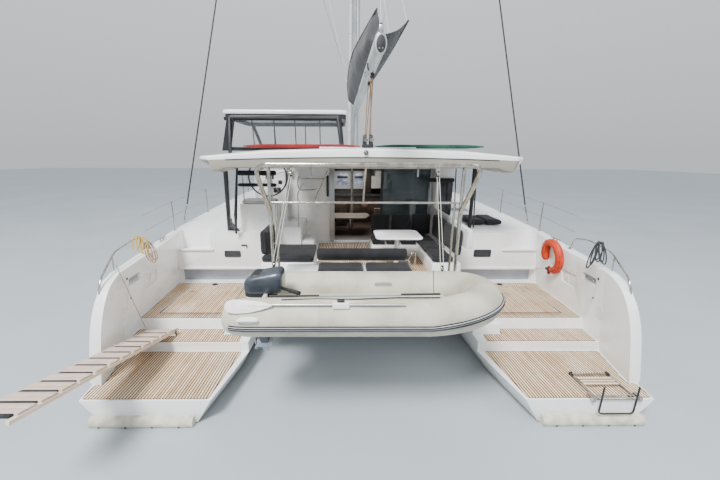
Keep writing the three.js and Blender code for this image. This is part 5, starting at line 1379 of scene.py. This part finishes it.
for k, corners in enumerate(GRABS):
    tube(f"grab_rail_{k}", [at(*c) for c in corners], 0.0125, STAINLESS, corner=0.08, detail=3)
cube("helm_step_low", at(-1.245, 3.42, 1.25), at(-0.97, 4.02, 1.57), GELCOAT, edge=0.03, segments=3)
cube("helm_step_tread", at(-1.23, 3.45, 1.57), at(-0.99, 3.99, 1.576), NON_SKID, edge=0.002)
cube("cabin_strap", at(-0.735, 4.505, 2.42), at(-0.68, 4.548, 2.93), NYLON, edge=0.018, segments=3)

# Cockpit: teak sole, threshold, door frame, coaming, table
cockpit = rounded_outline([at(x, s, SOLE) for x, s in (
    (-0.83, 2.12), (-0.83, 3.30), (-0.93, 3.38), (-0.93, 4.40), (1.82, 4.40), (1.82, 2.12))], 0.02)
plate("cockpit_teak", cockpit, (0, 0, TEAK_THICK), TEAK, edge=0.001, segments=1)
cube("door_threshold", at(-0.56, 4.40, 1.252), at(1.84, 4.545, 1.30), GELCOAT, edge=0.008)
FRAME_PARTS = [((-0.66, 4.515, 1.26), (-0.585, 4.548, 3.17)), ((-0.585, 4.53, 1.26), (-0.54, 4.548, 3.12)),
               ((-0.66, 4.515, 3.10), (1.88, 4.548, 3.17)), ((1.83, 4.515, 1.26), (1.88, 4.548, 3.17)),
               ((0.62, 4.535, 1.26), (0.665, 4.556, 3.10))]
for k, (low, high) in enumerate(FRAME_PARTS):
    cube(f"door_frame_{k}", at(*low), at(*high), POWDER if k == 4 else ALUMINIUM, edge=0.004)
DOOR_EDGES = [((0.622, 4.617, 1.262), (0.69, 4.651, 3.085)), ((1.765, 4.617, 1.262), (1.828, 4.651, 3.085)),
              ((0.622, 4.617, 1.262), (1.828, 4.651, 1.34)), ((0.622, 4.617, 3.02), (1.828, 4.651, 3.085))]
for k, (low, high) in enumerate(DOOR_EDGES):
    cube(f"door_stile_{k}", at(*low), at(*high), POWDER, "door", edge=0.004)
tube("door_handle", [at(0.655, s, z) for s, z in ((4.618, 2.02), (4.60, 2.02), (4.60, 2.42), (4.618, 2.42))],
     0.010, STAINLESS, "door", corner=0.012)
plate("coaming_starboard", [at(1.858, 1.98, 1.80), at(1.975, 1.98, 1.80), at(1.955, 1.98, 2.15),
                            at(1.875, 1.98, 2.15)], (0, 2.50, 0.05), GELCOAT, edge=0.02, segments=3)
tube("table_rim", rounded_outline(rectangle(0.295, 1.145, 2.205, 2.895, 1.9275), 0.12, 8), 0.016, GELCOAT,
     closed=True, detail=3)
turned("table_foot", [(0.13, 0.0), (0.128, 0.012), (0.06, 0.03), (0.047, 0.10)], at(0.72, 2.55, 1.254), UP,
       STAINLESS, sides=32)
turned("table_top_flange", [(0.055, 0.0), (0.06, 0.02), (0.11, 0.026)], at(0.72, 2.55, 1.882), UP,
       STAINLESS, sides=32)

# The saloon as it is seen through the door: each block has its name, two corners and its finish
SALOON = [
    ("sole", (-1.83, 4.62, 1.252), (1.83, 8.30, 1.262), VENEER),
    ("ceiling", (-2.2, 4.62, 3.17), (2.2, 8.35, 3.19), LINING),
    ("galley", (-1.9, 7.00, 1.262), (1.9, 7.60, 2.11), VENEER),
    ("worktop", (-1.95, 6.96, 2.11), (1.95, 7.64, 2.16), NYLON),
    ("front_lining", (-2.2, 8.20, 1.30), (2.2, 8.24, 2.30), VENEER),
    # The panes glow with painted daylight
    ("pane_0", (-0.54, 8.10, 2.40), (-0.13, 8.11, 2.83), PAINTED_DAYLIGHT),
    ("pane_1", (0.09, 8.10, 2.40), (0.40, 8.11, 2.83), PAINTED_DAYLIGHT),
    ("pane_wall", (-0.80, 8.12, 2.26), (0.48, 8.14, 2.90), WHITE_VINYL),
    ("pane_head", (-0.80, 8.05, 2.90), (0.48, 8.14, 3.17), VENEER),
    ("blind_0", (-0.52, 8.085, 2.63), (-0.15, 8.095, 2.72), COWL),
    ("blind_1", (0.11, 8.085, 2.63), (0.38, 8.095, 2.72), COWL),
    ("cabinet", (0.46, 7.70, 2.16), (0.66, 8.14, 3.17), VENEER),
    ("locker", (0.66, 7.60, 2.33), (1.18, 8.0, 2.74), LINING),
    ("locker_top", (0.78, 7.60, 2.74), (1.18, 8.0, 2.92), LINING),
    ("dark_wall", (1.22, 6.9, 1.3), (2.2, 7.0, 3.17), VENEER),
    ("settee_back", (0.53, 5.16, 1.262), (0.88, 5.26, 2.02), LEATHER),
    ("settee_seat", (0.53, 5.26, 1.262), (1.7, 5.9, 1.66), LEATHER),
    # The grey-green panels behind the door glass paint a reflection
    ("shade", (0.98, 5.20, 2.42), (1.58, 5.215, 2.92), PAINTED_REFLECTION),
    ("shade_head", (0.86, 5.20, 2.98), (1.58, 5.215, 3.10), PAINTED_REFLECTION),
    ("drape", (1.60, 4.90, 1.30), (1.84, 4.98, 3.12), CHARCOAL),
    ("side_lining_port", (-2.22, 4.62, 1.9), (-2.20, 8.2, 3.17), LINING),
    ("sideboard", (-0.52, 6.40, 1.262), (-0.20, 6.95, 1.95), VENEER),
    ("shelf", (0.28, 6.5, 1.85), (0.45, 6.9, 1.95), LEATHER),
]
for name, low, high, finish in SALOON:
    cube(f"saloon_{name}", at(*low), at(*high), finish, edge=0.006)
table = [at(x, s, 1.69) for x, s in ((-0.95, 5.35), (0.30, 5.35), (0.46, 5.75), (0.40, 6.15), (-0.95, 6.15))]
plate("saloon_table", rounded_outline(table, 0.06), (0, 0, 0.04), TAUPE, edge=0.012)
tube("saloon_pole", [at(-0.05, 6.30, 1.262), at(-0.05, 6.30, 3.17)], 0.042, STAINLESS, detail=4)
tube("saloon_table_leg", [at(-0.10, 5.75, 1.262), at(-0.10, 5.75, 1.69)], 0.04, STAINLESS, detail=4)

# Starboard of the door: a dark window in the cockpit's side and the rolled blind over it
cube("side_window", at(1.98, 4.20, 2.02), at(2.27, 4.215, 2.80), SMOKED, edge=0.004)
tube("side_window_frame", rounded_outline(upright(1.97, 2.28, 4.20, 2.01, 2.81), 0.04), 0.009, NYLON,
     closed=True)
cube("side_window_wall", at(1.90, 4.216, 1.90), at(2.29, 4.55, 3.18), GELCOAT, edge=0.006)
turned("side_blind", [(0.03, -0.33), (0.048, -0.32), (0.048, 0.32), (0.03, 0.33)],
                 at(1.96, 4.15, 2.86), (1, 0, 0), CHARCOAL)

# Davit bar: the strut amidships and two short lugs
tube("davit_strut", [at(-0.04, BAR_S, BAR_Z - 0.02), at(-0.04, ARCH_S, 2.74)], 0.014, STAINLESS, detail=3)
for k, x in enumerate((-0.76, 0.645)):
    tube(f"davit_lug_{k}", [at(x, BAR_S, BAR_Z - 0.02), at(x, BAR_S, BAR_Z - 0.15)], 0.012, STAINLESS)

# Hull sides: smoked windows, a rub rail and the deck's hatches
OFFSIDE, PROUD = 6, 0.007


def band(name, spans, thickness, finish):
    """A sheet laid on the hull's side; spans give s with the sheet's lower and upper edge."""
    for side, side_name in SIDES.items():
        shell = bpy.data.objects[f"hull_shell_{side_name}"]

        def place_of(t, u):
            s, low, high = spans[round(t * (len(spans) - 1))]
            place = shell.ray_cast(at(side * OFFSIDE, s, low + (high - low) * u), (-side, 0, 0))[1]
            return place + Vector((side * PROUD, 0, 0))

        piece = laid_grid(len(spans) - 1, 4, place_of, thickness)
        settle(smooth(outward(piece), 30), f"{name}_{side_name}", finish)


def eased(start, end, low, high, count):
    """Rows of a window whose ends come to rounded points."""
    rows = []
    for i in range(count + 1):
        t = i / count
        half = (high - low) / 2 * (1 - abs(2 * t - 1) ** 6) ** 0.5
        rows.append((start + (end - start) * t, (low + high) / 2 - half, (low + high) / 2 + half))
    return rows


band("hull_window_main", eased(4.6, 8.2, 1.10, 1.46, 24), 0.006, SMOKED)
band("hull_window_fore", eased(9.2, 10.9, 1.18, 1.48, 16), 0.006, SMOKED)
band("hull_window_aft", eased(3.3, 4.15, 1.12, 1.44, 12), 0.006, SMOKED)
band("rub_rail", [(s, line(s, SHEER) - 0.13, line(s, SHEER) - 0.09) for s in (
    1.2, 2.0, 3.1, 4.8, 7.2, 9.2, 10.3, 11.6, 12.7, 13.4)], 0.016, GREY_GELCOAT)
HATCHES = [(x, s, 3.545, 0.28) for x in (-1.1, 1.1) for s in (5.9, 7.2)]
HATCHES += [(side * 2.95, s, line(s, SHEER), 0.25) for side in SIDES for s in (5.6, 8.4, 10.6)]
HATCHES += [(side * 0.9, 9.7, 2.052, 0.28) for side in SIDES]
for k, (x, s, z, half) in enumerate(HATCHES):
    for part, inset, rise, radius, lift, finish, edge in (
            ("frame", 0.0, -0.004, 0.05, 0.022, ALUMINIUM, 0.004),
            ("pane", 0.035, 0.010, 0.035, 0.014, SMOKED, 0.003)):
        reach = half - inset
        outline = rounded_outline(rectangle(x - reach, x + reach, s - reach, s + reach, z + rise), radius)
        plate(f"hatch_{part}_{k}", outline, (0, 0, lift), finish, edge=edge)

# Anchor gear under the foredeck's longeron
tube("anchor_shank", [at(0.0, 13.2, 1.80), at(0.0, 14.0, 1.90)], 0.022, STAINLESS)
plate("anchor_fluke", [at(0.0, 14.12, 1.92), at(0.14, 13.80, 1.80), at(0.0, 13.72, 1.72),
                       at(-0.14, 13.80, 1.80)], (0, 0, -0.015), STAINLESS, edge=0.003)
turned("windlass", [(0.10, 0.0), (0.098, 0.03), (0.06, 0.05), (0.07, 0.11), (0.04, 0.13)],
       at(0.0, 9.95, 2.05), UP, STAINLESS, sides=28)

# Floor at the waterline and soft light
deselect()
bpy.ops.mesh.primitive_plane_add(size=160, location=(0, 0, 0))
floor = bpy.context.object
floor.name = "studio_floor"
floor.data.materials.append(
    mottled("pale studio floor", "#a3abb0", "#abb2b7", 3.0, 0.3, (0.6, 0.7), 0.0005, 0.1))

world = bpy.data.worlds.new("overcast")
bpy.context.scene.world = world
world.use_nodes = True
sky = world.node_tree
sky_height = axis_of(sky, add(sky, "TexCoord").outputs["Generated"], "Z")
sky.nodes["Background"].inputs["Color"].default_value = srgb("#e9eef3")
sky.links.new(ranged(sky, sky_height, 0.0, 0.9, 0.78, 1.5), sky.nodes["Background"].inputs["Strength"])


def soft_light(name, place, aim, size, power):
    data = bpy.data.lights.new(name, "AREA")
    data.shape, data.size, data.energy = "DISK", size, power
    lamp = bpy.data.objects.new(name, data)
    bpy.context.collection.objects.link(lamp)
    lamp.location = place
    lamp.rotation_mode = "QUATERNION"
    lamp.rotation_quaternion = (Vector(aim) - Vector(place)).to_track_quat("-Z", "Y")


soft_light("key_light", (-7, -20, 22), (0, -4, 1), 7, 12500)
soft_light("fill_light", (16, -14, 12), (0, -3, 1), 12, 900)
soft_light("saloon_light", at(0, 6.2, 3.12), at(0, 6.2, 1.0), 1.6, 45)
